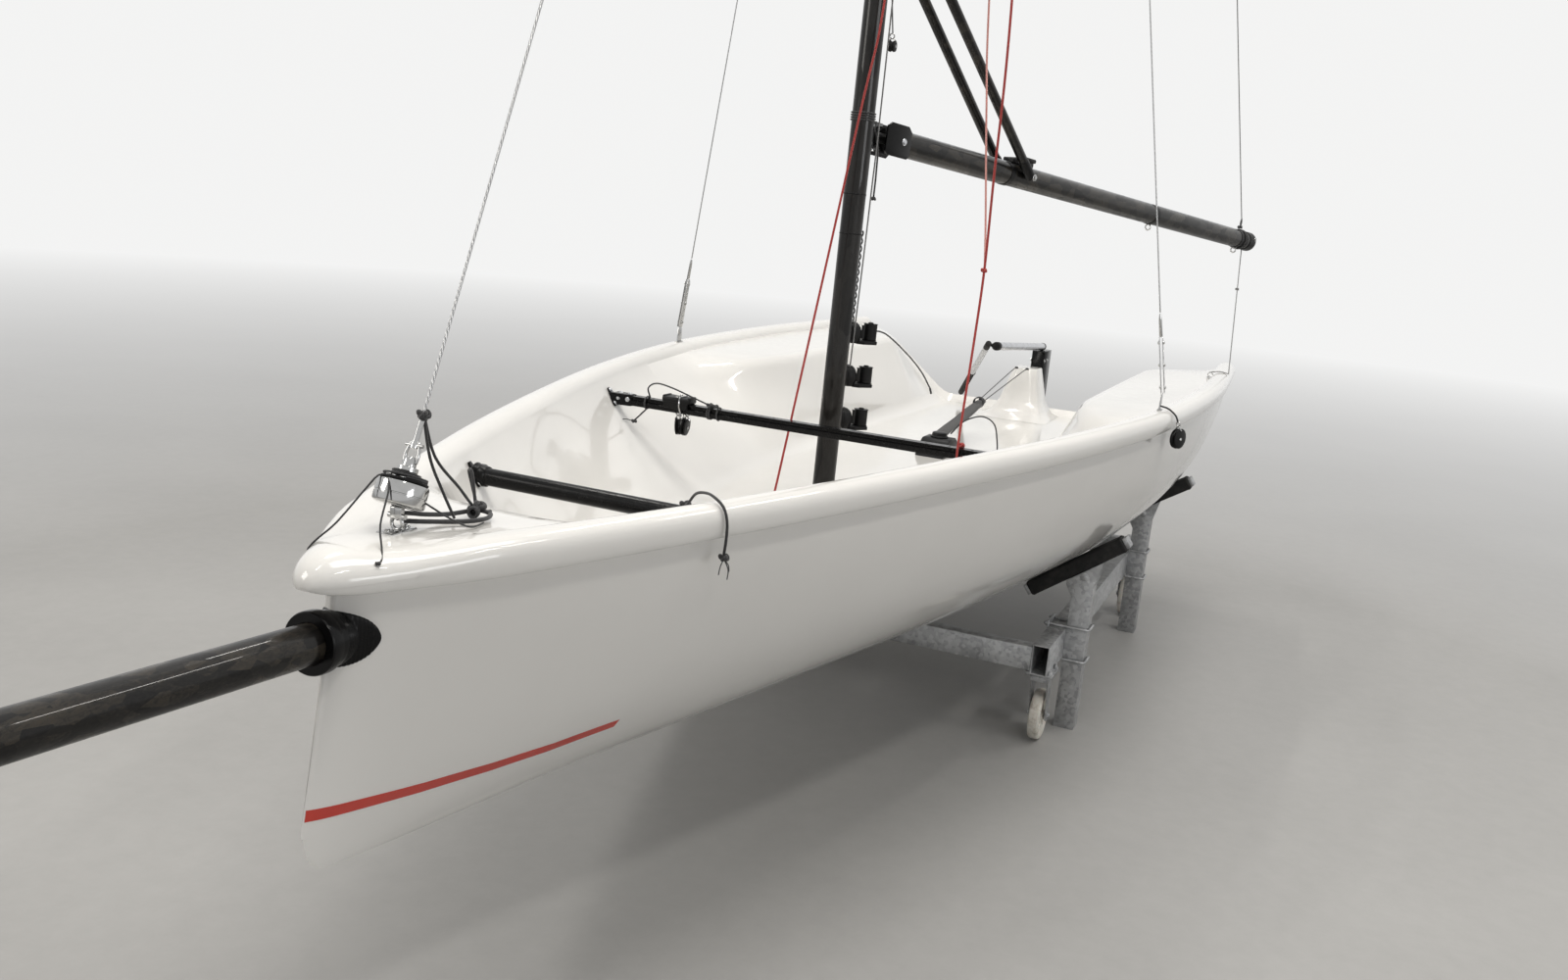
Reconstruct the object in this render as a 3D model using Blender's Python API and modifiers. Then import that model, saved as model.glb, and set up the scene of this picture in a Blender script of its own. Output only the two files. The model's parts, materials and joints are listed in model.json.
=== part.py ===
# A 4.3 m two-handed sailing dinghy with its mast, boom and bowsprit, standing level on a galvanised
# steel cradle with four swivelling castors.
# Boat axes: x forward from the transom, y to port, z up from the lowest point of the keel.
import math

import bmesh
import bpy
import numpy as np
from mathutils import Matrix, Vector

# Overall sizes
KEEL_HEIGHT = 0.37
GAP = 0.0003
ROUND = 24
WIRE_SIDES = 8

# Hull and deck
LIP_OVERHANG = 0.028
LIP_HEIGHT = 0.058
LIP_WIDTH = 0.072
DECK_THICKNESS = 0.010
STEM_X = 4.284
STEM_TOP_X = 4.226
STEM_FOOT_HEIGHT = 0.190
RAKE_START_X = 3.90
NOSE_X = 4.300
NOSE_START_X = 4.220
NOSE_BLUFFNESS = 0.2875
SEAM_AT_BOW = 0.534
OUTER_STEPS = 9
FLOOR_RADIUS = 0.045
FILLET_STEPS = 3
LIP_STEPS = 3

# Outer shape. Columns: station x, keel height, half breadth at the seam, seam height, fullness
HULL_STATIONS = (
    (0.00, 0.070, 0.782, 0.562, 2.60),
    (0.90, 0.022, 0.820, 0.566, 2.50),
    (1.60, 0.002, 0.792, 0.566, 2.35),
    (2.00, 0.000, 0.742, 0.564, 2.20),
    (2.45, 0.000, 0.652, 0.560, 2.05),
    (2.90, 0.004, 0.532, 0.555, 1.85),
    (3.37, 0.018, 0.388, 0.548, 1.60),
    (3.80, 0.056, 0.232, 0.540, 1.38),
    (4.10, 0.092, 0.110, SEAM_AT_BOW, 1.22),
    (4.20, 0.107, 0.064, SEAM_AT_BOW, 1.16),
    (4.24, 0.114, 0.044, SEAM_AT_BOW, 1.13),
    (4.262, 0.126, 0.030, SEAM_AT_BOW, 1.11),
    (4.276, 0.146, 0.017, SEAM_AT_BOW, 1.10),
    (STEM_X, 0.176, 0.007, SEAM_AT_BOW, 1.10),
)

# Inner shape. Columns: station x, floor half width, floor height, tank edge half width and height,
# side deck height at the gunwale, radius of the tank's edge
INNER_STATIONS = (
    (0.00, 0.400, 0.336, 0.660, 0.560, 0.590, 0.050),
    (0.035, 0.410, 0.310, 0.655, 0.570, 0.592, 0.045),
    (0.18, 0.430, 0.310, 0.590, 0.582, 0.596, 0.035),
    (0.40, 0.440, 0.310, 0.508, 0.588, 0.598, 0.030),
    (1.45, 0.440, 0.310, 0.500, 0.590, 0.598, 0.030),
    (1.60, 0.445, 0.310, 0.515, 0.588, 0.597, 0.035),
    (1.75, 0.450, 0.310, 0.570, 0.572, 0.595, 0.050),
    (1.90, 0.450, 0.310, 0.615, 0.545, 0.592, 0.080),
    (2.10, 0.425, 0.310, 0.615, 0.520, 0.590, 0.100),
    (2.45, 0.350, 0.310, 0.540, 0.490, 0.586, 0.100),
    (2.90, 0.250, 0.312, 0.430, 0.470, 0.580, 0.100),
    (3.37, 0.140, 0.318, 0.270, 0.455, 0.574, 0.080),
    (3.66, 0.070, 0.330, 0.150, 0.450, 0.572, 0.050),
    (3.86, 0.060, 0.574, 0.090, 0.574, 0.577, 0.020),
    (4.10, 0.020, 0.583, 0.040, 0.583, 0.584, 0.010),
    (NOSE_X, 0.003, 0.586, 0.005, 0.586, 0.587, 0.001),
)
SHARED_STATIONS = (0.0, 0.035, 0.10, 0.18, 0.28, 0.40, 0.70, 1.05, 1.45, 1.52, 1.60, 1.675, 1.75,
                   1.825, 1.90, 2.00, 2.10, 2.25, 2.40, 2.505, 2.555, 2.70, 2.90, 3.12, 3.37, 3.52,
                   3.66, 3.75, 3.80, 3.86, 3.98, 4.10)
HULL_LOFT = SHARED_STATIONS + (4.16, 4.20, 4.24, 4.262, 4.276, STEM_X)
DECK_LOFT = SHARED_STATIONS + (4.16, 4.20, 4.235, 4.262, 4.280, 4.292, 4.2985)

# Mast, boom and rigging
MAST_X = 2.36
MAST_DIAMETER = 0.058
MAST_LENGTH = 6.15
MAST_RAKE = math.radians(1.5)
MAST_STEP_HEIGHT = 0.022
GOOSENECK_HEIGHT = 0.955
GNAV_HEIGHT = 1.50
GNAV_FOOT = 0.70
PIVOT_SETBACK = 0.085
BOOM_LENGTH = 2.36
BOOM_DIAMETER = 0.066
BOOM_DROP = math.radians(3.1)
BOOM_SWING = math.radians(19.0)
STRUT_DIAMETER = 0.028
HOUNDS_HEIGHT = 4.75
STAY_DIAMETER = 0.004
CHAINPLATE_X = 1.78
FURLER_X = 4.10

# Bars across the well: station and height
TRACK_PLACE = (2.53, 0.548)
CROSSBAR_PLACE = (3.55, 0.545)

# Bowsprit
SPRIT_DIAMETER = 0.060
SPRIT_TILT = math.radians(3.1)
SPRIT_STEM = (4.27, 0.464)
SPRIT_REACH = 1.018
SPRIT_INBOARD = 0.46

# The cuff's outside. Columns: distance along the bowsprit from the stem, radius
CUFF_PROFILE = ((-0.105, 0.036), (-0.085, 0.044), (-0.060, 0.046), (0.002, 0.046), (0.006, 0.043))

# Rudder
RUDDER_AXIS_X = -0.050
TILLER_JOINT = (0.68, 0.0, 0.632)
TILLER_DIAMETER = 0.030
EXTENSION_DIAMETER = 0.024
EXTENSION_OFFSET = 0.034
EXTENSION_END = (0.05, -0.285, 0.354)

# Cradle
BEAM_SPAN = 1.08
BEAM_WIDTH = 0.050
BEAM_DEPTH = 0.090
BEAM_HEIGHT = 0.265
POST_SIZE = 0.060
CASTOR_WHEEL = 0.150

# Rudder blade: its outline hangs from the bolt, and it is stored part raised
BLADE_PIVOT = (-0.135, 0.0, 0.235)
BLADE_LENGTH = 0.74
BLADE_THICKNESS = 0.022
BLADE_RAISE = math.radians(62.0)
BLADE_OUTLINE = [(-0.030, 0.030), (0.022, 0.030), (0.032, 0.010), (0.035, -0.20), (0.020, -0.60),
                 (-0.010, -0.71), (-0.060, -BLADE_LENGTH), (-0.105, -0.70), (-0.150, -0.55),
                 (-0.160, -0.24), (-0.120, -0.13), (-0.045, -0.03)]

# The ends of the whole thing, and the middle between them
SPRIT_TIP_X = (SPRIT_STEM[0] + SPRIT_REACH * math.cos(SPRIT_TILT)
               + 0.5 * SPRIT_DIAMETER * math.sin(SPRIT_TILT))
STERN_END_X = BLADE_PIVOT[0] + min(x * math.cos(BLADE_RAISE) + z * math.sin(BLADE_RAISE)
                                   for x, z in BLADE_OUTLINE)
MIDDLE_X = 0.5 * (SPRIT_TIP_X + STERN_END_X)


def clear_scene():
    for item in list(bpy.data.objects):
        bpy.data.objects.remove(item, do_unlink=True)


def new_collection(name):
    made = bpy.data.collections.new(name)
    bpy.context.scene.collection.children.link(made)
    return made


def material(name, colour, roughness, metallic=0.0):
    made = bpy.data.materials.new(name)
    made.use_nodes = True
    shader = made.node_tree.nodes["Principled BSDF"]
    shader.inputs["Base Color"].default_value = (*colour, 1.0)
    shader.inputs["Roughness"].default_value = roughness
    shader.inputs["Metallic"].default_value = metallic
    return made


clear_scene()
PARTS = new_collection("sailing_dinghy")
CUTTERS = new_collection("cutters")

GELCOAT = material("white_gelcoat", (0.80, 0.80, 0.79), 0.22)
CARBON = material("black_carbon", (0.012, 0.012, 0.013), 0.25)
BLACK = material("black_plastic", (0.015, 0.015, 0.016), 0.45)
ALLOY = material("silver_alloy", (0.62, 0.63, 0.65), 0.30, 1.0)
STEEL = material("stainless_steel", (0.66, 0.66, 0.66), 0.25, 1.0)
GALVANISED = material("galvanised_steel", (0.42, 0.43, 0.44), 0.55, 0.8)
RUBBER = material("black_rubber", (0.018, 0.018, 0.018), 0.80)
NYLON = material("white_nylon", (0.78, 0.77, 0.73), 0.45)
WEBBING = material("black_webbing", (0.020, 0.020, 0.021), 0.85)


def empty(name, location, parent=None, rotation=(0.0, 0.0, 0.0)):
    made = bpy.data.objects.new(name, None)
    PARTS.objects.link(made)
    made.parent = parent
    made.location = location
    made.rotation_euler = rotation
    return made


BOAT = empty("boat_frame", (-MIDDLE_X, 0.0, KEEL_HEIGHT))
GROUND = empty("ground_frame", (-MIDDLE_X, 0.0, 0.0))


def adopt(item, name, shade, parent, smooth=True):
    """Name an object, give it its material and parent, and put it with the parts."""
    item.name = name
    item.data.name = name
    item.data.materials.clear()
    item.data.materials.append(shade)
    item.parent = parent or BOAT
    for holder in list(item.users_collection):
        holder.objects.unlink(item)
    PARTS.objects.link(item)
    if smooth and item.type == "MESH":
        item.data.shade_smooth()
        item.data.set_sharp_from_angle(angle=math.radians(35.0))
    return item


def as_cutter(item):
    """Move an object to the cutters, hidden from the model."""
    for holder in list(item.users_collection):
        holder.objects.unlink(item)
    CUTTERS.objects.link(item)
    item.hide_render = True
    item.display_type = "WIRE"
    return item


def boolean(target, tool, operation):
    """Cut or join a target with another object, which then becomes a cutter."""
    as_cutter(tool)
    step = target.modifiers.new(operation.lower(), "BOOLEAN")
    step.operation = operation
    step.solver = "EXACT"
    step.object = tool
    return target


def from_mesh(name, points, faces, shade, parent=None, smooth=True):
    data = bpy.data.meshes.new(name)
    data.from_pydata([tuple(point) for point in points], [], faces)
    data.update()
    item = bpy.data.objects.new(name, data)
    PARTS.objects.link(item)
    return adopt(item, name, shade, parent, smooth)


def box(name, size, centre, shade, parent=None, bevel=0.0, rotation=(0.0, 0.0, 0.0)):
    bpy.ops.mesh.primitive_cube_add(size=1.0, location=centre, rotation=rotation)
    item = bpy.context.active_object
    item.data.transform(Matrix.Diagonal((*size, 1.0)))
    adopt(item, name, shade, parent, smooth=False)
    if bevel > 0.0:
        edge = item.modifiers.new("edges", "BEVEL")
        edge.width = bevel
        edge.segments = 2
        edge.limit_method = "ANGLE"
    return item


def rod(name, start, end, diameter, shade, parent=None, sides=ROUND, end_diameter=None):
    """A round bar between two points, tapered when its end diameter is given."""
    start, end = Vector(start), Vector(end)
    span = end - start
    end_diameter = diameter if end_diameter is None else end_diameter
    bpy.ops.mesh.primitive_cone_add(vertices=sides, radius1=0.5 * diameter,
                                    radius2=0.5 * end_diameter, depth=span.length)
    item = bpy.context.active_object
    turn = span.to_track_quat("Z", "Y").to_matrix().to_4x4()
    item.data.transform(Matrix.Translation(0.5 * (start + end)) @ turn)
    return adopt(item, name, shade, parent)


def plate(name, outline, thickness, shade, parent=None, plane="XZ", centre=(0.0, 0.0, 0.0),
          bevel=0.0):
    """A flat piece: its outline in the named plane, thick equally to both sides of it."""
    curve = bpy.data.curves.new(name, "CURVE")
    curve.dimensions = "2D"
    curve.fill_mode = "BOTH"
    curve.extrude = 0.5 * thickness
    spline = curve.splines.new("POLY")
    spline.points.add(len(outline) - 1)
    for point, (u, v) in zip(spline.points, outline):
        point.co = (u, v, 0.0, 1.0)
    spline.use_cyclic_u = True
    holder = bpy.data.objects.new(name + "_outline", curve)
    PARTS.objects.link(holder)
    bpy.context.view_layer.update()
    evaluated = holder.evaluated_get(bpy.context.evaluated_depsgraph_get())
    data = bpy.data.meshes.new_from_object(evaluated)
    bpy.data.objects.remove(holder, do_unlink=True)
    turns = {"XY": Matrix.Identity(4), "XZ": Matrix.Rotation(math.pi / 2, 4, "X"),
             "YZ": Matrix.Rotation(math.pi / 2, 4, "Z") @ Matrix.Rotation(math.pi / 2, 4, "X")}
    data.transform(Matrix.Translation(centre) @ turns[plane])
    work = bmesh.new()
    work.from_mesh(data)
    bmesh.ops.remove_doubles(work, verts=work.verts, dist=0.00001)
    bmesh.ops.recalc_face_normals(work, faces=work.faces)
    work.to_mesh(data)
    work.free()
    item = bpy.data.objects.new(name, data)
    PARTS.objects.link(item)
    adopt(item, name, shade, parent, smooth=False)
    if bevel > 0.0:
        edge = item.modifiers.new("edges", "BEVEL")
        edge.width = bevel
        edge.segments = 2
        edge.limit_method = "ANGLE"
    return item


def turned(name, profile, start, direction, shade, parent=None, sides=ROUND):
    """A piece turned from a profile of (distance along the axis, radius) by a Screw modifier."""
    rows = list(profile)
    if rows[0][1] > 0.0:
        rows.insert(0, (rows[0][0], 0.0))
    if rows[-1][1] > 0.0:
        rows.append((rows[-1][0], 0.0))
    rows.reverse()
    data = bpy.data.meshes.new(name)
    data.from_pydata([(radius, 0.0, along) for along, radius in rows],
                     [(k, k + 1) for k in range(len(rows) - 1)], [])
    item = bpy.data.objects.new(name, data)
    PARTS.objects.link(item)
    adopt(item, name, shade, parent, smooth=False)
    item.location = start
    item.rotation_euler = Vector(direction).to_track_quat("Z", "Y").to_euler()
    spin = item.modifiers.new("turn", "SCREW")
    spin.axis = "Z"
    spin.steps = sides
    spin.render_steps = sides
    spin.use_merge_vertices = True
    spin.merge_threshold = 0.00001
    spin.use_smooth_shade = True
    return item


def smooth_value(x, table, column):
    """A smooth curve through one column of a station table."""
    xs = [row[0] for row in table]
    ys = [row[column] for row in table]
    k = int(np.clip(np.searchsorted(xs, x) - 1, 0, len(xs) - 2))
    slopes = []
    for i in (k, k + 1):
        low, high = max(i - 1, 0), min(i + 1, len(xs) - 1)
        slopes.append((ys[high] - ys[low]) / (xs[high] - xs[low]))
    span = xs[k + 1] - xs[k]
    t = (x - xs[k]) / span
    return ((2 * t**3 - 3 * t**2 + 1) * ys[k] + (t**3 - 2 * t**2 + t) * span * slopes[0]
            + (3 * t**2 - 2 * t**3) * ys[k + 1] + (t**3 - t**2) * span * slopes[1])


def straight_value(x, table, column):
    return float(np.interp(x, [row[0] for row in table], [row[column] for row in table]))


def bend(start, corner, end, steps):
    """Points of a smooth bend from start towards corner and on to end, without the start."""
    made = []
    for k in range(1, steps + 1):
        t = k / steps
        made.append(tuple((1 - t)**2 * a + 2 * t * (1 - t) * c + t * t * b
                          for a, c, b in zip(start, corner, end)))
    return made


def fillet(before, corner, after, radius):
    """A rounded corner of a section."""
    ends = []
    for other in (before, after):
        away = Vector(other) - Vector(corner)
        ends.append(tuple(Vector(corner) + away.normalized() * min(radius, 0.45 * away.length)))
    return [ends[0]] + bend(ends[0], corner, ends[1], FILLET_STEPS)


def outer_half(x):
    """Half section of the outer skin, from the keel to the seam under the gunwale."""
    keel, breadth, seam, full = (smooth_value(x, HULL_STATIONS, c) for c in (1, 2, 3, 4))
    breadth = max(breadth, 0.006)
    half = []
    for k in range(OUTER_STEPS):
        angle = 0.5 * math.pi * k / (OUTER_STEPS - 1)
        half.append((breadth * math.sin(angle) ** (2.0 / full),
                     seam - (seam - keel) * math.cos(angle) ** (2.0 / full)))
    return half


def nose_half(x):
    """Half breadth of the rounded nose, over the gunwale."""
    return NOSE_BLUFFNESS * math.sqrt(max(NOSE_X - x, 0.0))


def lip_sizes(x):
    """Half breadth of the hull under the gunwale, and how far the gunwale stands out from it."""
    if x < HULL_STATIONS[9][0]:
        corner = max(1.0 - x / INNER_STATIONS[1][0], 0.0)
        return smooth_value(x, HULL_STATIONS, 2), LIP_OVERHANG * (1.0 - 0.55 * corner**2)
    overhang = min(LIP_OVERHANG, 0.5 * nose_half(x))
    return nose_half(x) - overhang, overhang


def inner_half(x):
    """Half section of the deck's upper face, from the middle of the floor to the gunwale's foot."""
    floor_y, floor_z, tank_y, tank_z, deck_z, edge = (straight_value(x, INNER_STATIONS, c)
                                                      for c in range(1, 7))
    breadth = lip_sizes(x)[0]
    foot_y = breadth - min(LIP_WIDTH - LIP_OVERHANG, 0.4 * breadth)
    floor_y = min(floor_y, 0.5 * foot_y)
    tank_y = min(tank_y, foot_y - 0.25 * (foot_y - floor_y))
    middle, low, high, foot = (0.0, floor_z), (floor_y, floor_z), (tank_y, tank_z), (foot_y, deck_z)
    return ([middle, (0.5 * floor_y, floor_z)] + fillet(middle, low, high, FLOOR_RADIUS)
            + fillet(low, high, foot, edge) + [foot])


def offset_half(half, distance):
    """The half section moved square to itself, down and outward, with its first point on y = 0."""
    moved = []
    for k, (y, z) in enumerate(half):
        before = half[max(k - 1, 0)]
        after = half[min(k + 1, len(half) - 1)]
        ty, tz = after[0] - before[0], after[1] - before[1]
        size = math.hypot(ty, tz)
        moved.append((0.0 if k == 0 else y + distance * tz / size, z - distance * ty / size))
    return moved


def lip_half(x):
    """Half section of the rounded gunwale, from its inner foot over the top to the seam."""
    breadth, overhang = lip_sizes(x)
    seam = smooth_value(min(x, STEM_X), HULL_STATIONS, 3)
    inner = min(LIP_WIDTH - LIP_OVERHANG, 0.4 * breadth)
    top, out = seam + LIP_HEIGHT, breadth + overhang
    foot = inner_half(x)[-1]
    crest = (breadth - 0.10 * inner, top)
    side = (out, seam + 0.45 * LIP_HEIGHT)
    low = (out - 0.4 * overhang, seam + 0.001)
    return (bend(foot, (breadth - 0.85 * inner, top), crest, LIP_STEPS)
            + bend(crest, (out, top), side, LIP_STEPS) + bend(side, (out, seam), low, LIP_STEPS - 1)
            + [(breadth, seam + GAP)])


def section_loop(half):
    """A closed loop of points from a half loop that starts and ends on or near the middle."""
    port = list(half)
    starboard = [(-y, z) for y, z in reversed(half) if y > 1e-9]
    return port + starboard


def joint_half(x, lift):
    """The face between hull and deck, from the middle outward, raised by lift at the seam."""
    breadth, seam = outer_half(x)[-1] if x <= STEM_X else (lip_sizes(x)[0], SEAM_AT_BOW)
    breadth = min(breadth, lip_sizes(x)[0])
    edge = breadth - min(0.012, 0.3 * breadth)
    upper = inner_half(x)
    if upper[0][1] - DECK_THICKNESS > seam:
        return [(edge * k / (len(upper) - 1), seam + lift) for k in range(len(upper))]
    moved = offset_half(upper, DECK_THICKNESS + GAP - lift)
    return [(min(y, edge), min(z, seam + lift)) for y, z in moved[:-1]] + [(edge, seam + lift)]


def hull_half(x):
    return outer_half(x) + list(reversed(joint_half(x, 0.0)))


def deck_half(x):
    half = inner_half(x) + lip_half(x) + list(reversed(joint_half(x, GAP)))
    if x <= NOSE_START_X:
        return half
    share = (x - NOSE_START_X) / (NOSE_X - NOSE_START_X)
    middle = SEAM_AT_BOW + 0.5 * (LIP_HEIGHT + GAP)
    return [(y, middle + (z - middle) * math.sqrt(1.0 - share**2)) for y, z in half]


def raked(x, y, z):
    """A hull point moved aft near the bow, so that the stem leans."""
    near = min(max((x - RAKE_START_X) / (STEM_X - RAKE_START_X), 0.0), 1.0)
    high = max((z - STEM_FOOT_HEIGHT) / (SEAM_AT_BOW - STEM_FOOT_HEIGHT), 0.0)
    return x - (STEM_X - STEM_TOP_X) * near**2 * high, y, z


def loft(name, loops, shade, parent=None):
    """A closed body through section loops with equal numbers of points; loops are (x, points)."""
    count = len(loops[0][1])
    points = [(x, y, z) for x, loop in loops for y, z in loop]
    faces = []
    for k in range(count):
        nxt = (k + 1) % count
        outward = sum(abs(loop[nxt][0]) - abs(loop[k][0]) for x, loop in loops) > 0.0
        for s in range(len(loops) - 1):
            a, b = s * count + k, s * count + nxt
            c, d = (s + 1) * count + nxt, (s + 1) * count + k
            faces += [(a, b, c), (a, c, d)] if outward else [(a, b, d), (b, c, d)]
    faces.append(tuple(reversed(range(count))))
    faces.append(tuple((len(loops) - 1) * count + k for k in range(count)))
    item = from_mesh(name, points, faces, shade, parent)
    work = bmesh.new()
    work.from_mesh(item.data)
    bmesh.ops.recalc_face_normals(work, faces=work.faces)
    bmesh.ops.triangulate(work, faces=[face for face in work.faces if len(face.verts) > 4])
    work.to_mesh(item.data)
    work.free()
    return item


def make_hull():
    loops = [(x, section_loop(hull_half(x))) for x in HULL_LOFT]
    item = loft("hull", loops, GELCOAT)
    for vertex in item.data.vertices:
        vertex.co = raked(*vertex.co)
    return item


def make_deck():
    loops = [(x, section_loop(deck_half(x))) for x in DECK_LOFT]
    return loft("deck", loops, GELCOAT)


def between(x, half_section, points=slice(None)):
    """A half section at x, straight between the lofted stations."""
    k = int(np.clip(np.searchsorted(DECK_LOFT, x) - 1, 0, len(DECK_LOFT) - 2))
    t = (x - DECK_LOFT[k]) / (DECK_LOFT[k + 1] - DECK_LOFT[k])
    return [((1 - t) * y0 + t * y1, (1 - t) * z0 + t * z1)
            for (y0, z0), (y1, z1) in zip(half_section(DECK_LOFT[k])[points],
                                          half_section(DECK_LOFT[k + 1])[points])]


def inner_wall(x, z):
    """Half width of the well at a height."""
    half = between(x, inner_half, slice(2, None))
    return float(np.interp(z, [p[1] for p in half], [p[0] for p in half]))


def span_half(x, z, radius):
    """Half length of a bar across the well that ends just clear of the walls."""
    steps = (-radius, 0.0, radius)
    return min(inner_wall(x + dx, z + dz) for dx in steps for dz in steps) - 2 * GAP


def floor_height(x):
    return straight_value(x, INNER_STATIONS, 2)


def lip_height(x, y):
    """Height of the gunwale's rounded top at a half breadth."""
    top = between(x, lip_half, slice(0, 2 * LIP_STEPS))
    return float(np.interp(y, [p[0] for p in top], [p[1] for p in top]))


# Bowsprit: its axis runs through the stem, rising forward
SPRIT_AXIS = Vector((math.cos(SPRIT_TILT), 0.0, math.sin(SPRIT_TILT)))
SPRIT_AT_STEM = Vector((SPRIT_STEM[0], 0.0, SPRIT_STEM[1]))
SPRIT_BORE = SPRIT_DIAMETER + 0.0012


def make_bowsprit(hull, deck):
    bore_start = SPRIT_AT_STEM - 0.75 * SPRIT_AXIS
    bore_end = SPRIT_AT_STEM + 0.20 * SPRIT_AXIS
    boolean(deck, rod("deck_sprit_bore", bore_start, bore_end, SPRIT_BORE, BLACK), "DIFFERENCE")
    seat_start = CUFF_PROFILE[0][0] - GAP
    seat = [(-0.75, 0.5 * SPRIT_BORE), (seat_start, 0.5 * SPRIT_BORE)]
    seat += [(along, radius + GAP) for along, radius in ((seat_start, CUFF_PROFILE[0][1]),
                                                         *CUFF_PROFILE[1:3], (0.20, CUFF_PROFILE[3][1]))]
    boolean(hull, turned("hull_sprit_bore", seat, SPRIT_AT_STEM, SPRIT_AXIS, BLACK), "DIFFERENCE")
    cuff = turned("bow_cuff", CUFF_PROFILE, SPRIT_AT_STEM, SPRIT_AXIS, BLACK)
    boolean(cuff, rod("cuff_bore", bore_start, bore_end, SPRIT_BORE, BLACK), "DIFFERENCE")
    rod("bowsprit", SPRIT_AT_STEM - SPRIT_INBOARD * SPRIT_AXIS,
        SPRIT_AT_STEM + SPRIT_REACH * SPRIT_AXIS, SPRIT_DIAMETER, CARBON)


# Daggerboard case: an open slot from the cockpit floor down through the keel
CASE_X = (1.72, 2.08)
CASE_WIDTH = 0.036


def make_board_case(hull, deck):
    low, high = -0.05, floor_height(CASE_X[0]) + 0.05
    for target in (hull, deck):
        slot = box(target.name + "_case", (CASE_X[1] - CASE_X[0], CASE_WIDTH, high - low),
                   (0.5 * (CASE_X[0] + CASE_X[1]), 0.0, 0.5 * (low + high)), BLACK)
        boolean(target, slot, "DIFFERENCE")


# Rudder: gudgeons on the stern tower, a head with two cheeks, a blade that kicks up
TOWER_BACK = 0.040
TOWER_CORNER = 0.022

# Stern tower. Columns: height, front end x, half width
TOWER_ROWS = (
    (floor_height(TOWER_BACK) + GAP, 0.330, 0.150),
    (0.320, 0.285, 0.118),
    (0.340, 0.250, 0.098),
    (0.375, 0.222, 0.080),
    (0.430, 0.195, 0.066),
    (0.505, 0.160, 0.048),
)
GUDGEON_HEIGHTS = (0.355, 0.470)
PINTLE = 0.012
HEAD_FRONT, HEAD_BACK = 0.026, 0.150
HEAD_LOW, HEAD_TOP = 0.180, 0.560
HEAD_HALF = 0.027
BLADE_SLOT = 0.034


def make_tower():
    points = [(x, y, z) for z, front, half in TOWER_ROWS
              for x, y in ((TOWER_BACK, -half), (front - TOWER_CORNER, -half),
                           (front, TOWER_CORNER - half), (front, half - TOWER_CORNER),
                           (front - TOWER_CORNER, half), (TOWER_BACK, half))]
    count, faces = 6, []
    for level in range(len(TOWER_ROWS) - 1):
        for k in range(count):
            nxt = (k + 1) % count
            faces.append((level * count + k, level * count + nxt, (level + 1) * count + nxt,
                          (level + 1) * count + k))
    faces.append(tuple(reversed(range(count))))
    faces.append(tuple((len(TOWER_ROWS) - 1) * count + k for k in range(count)))
    from_mesh("stern_tower", points, faces, GELCOAT)


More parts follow.
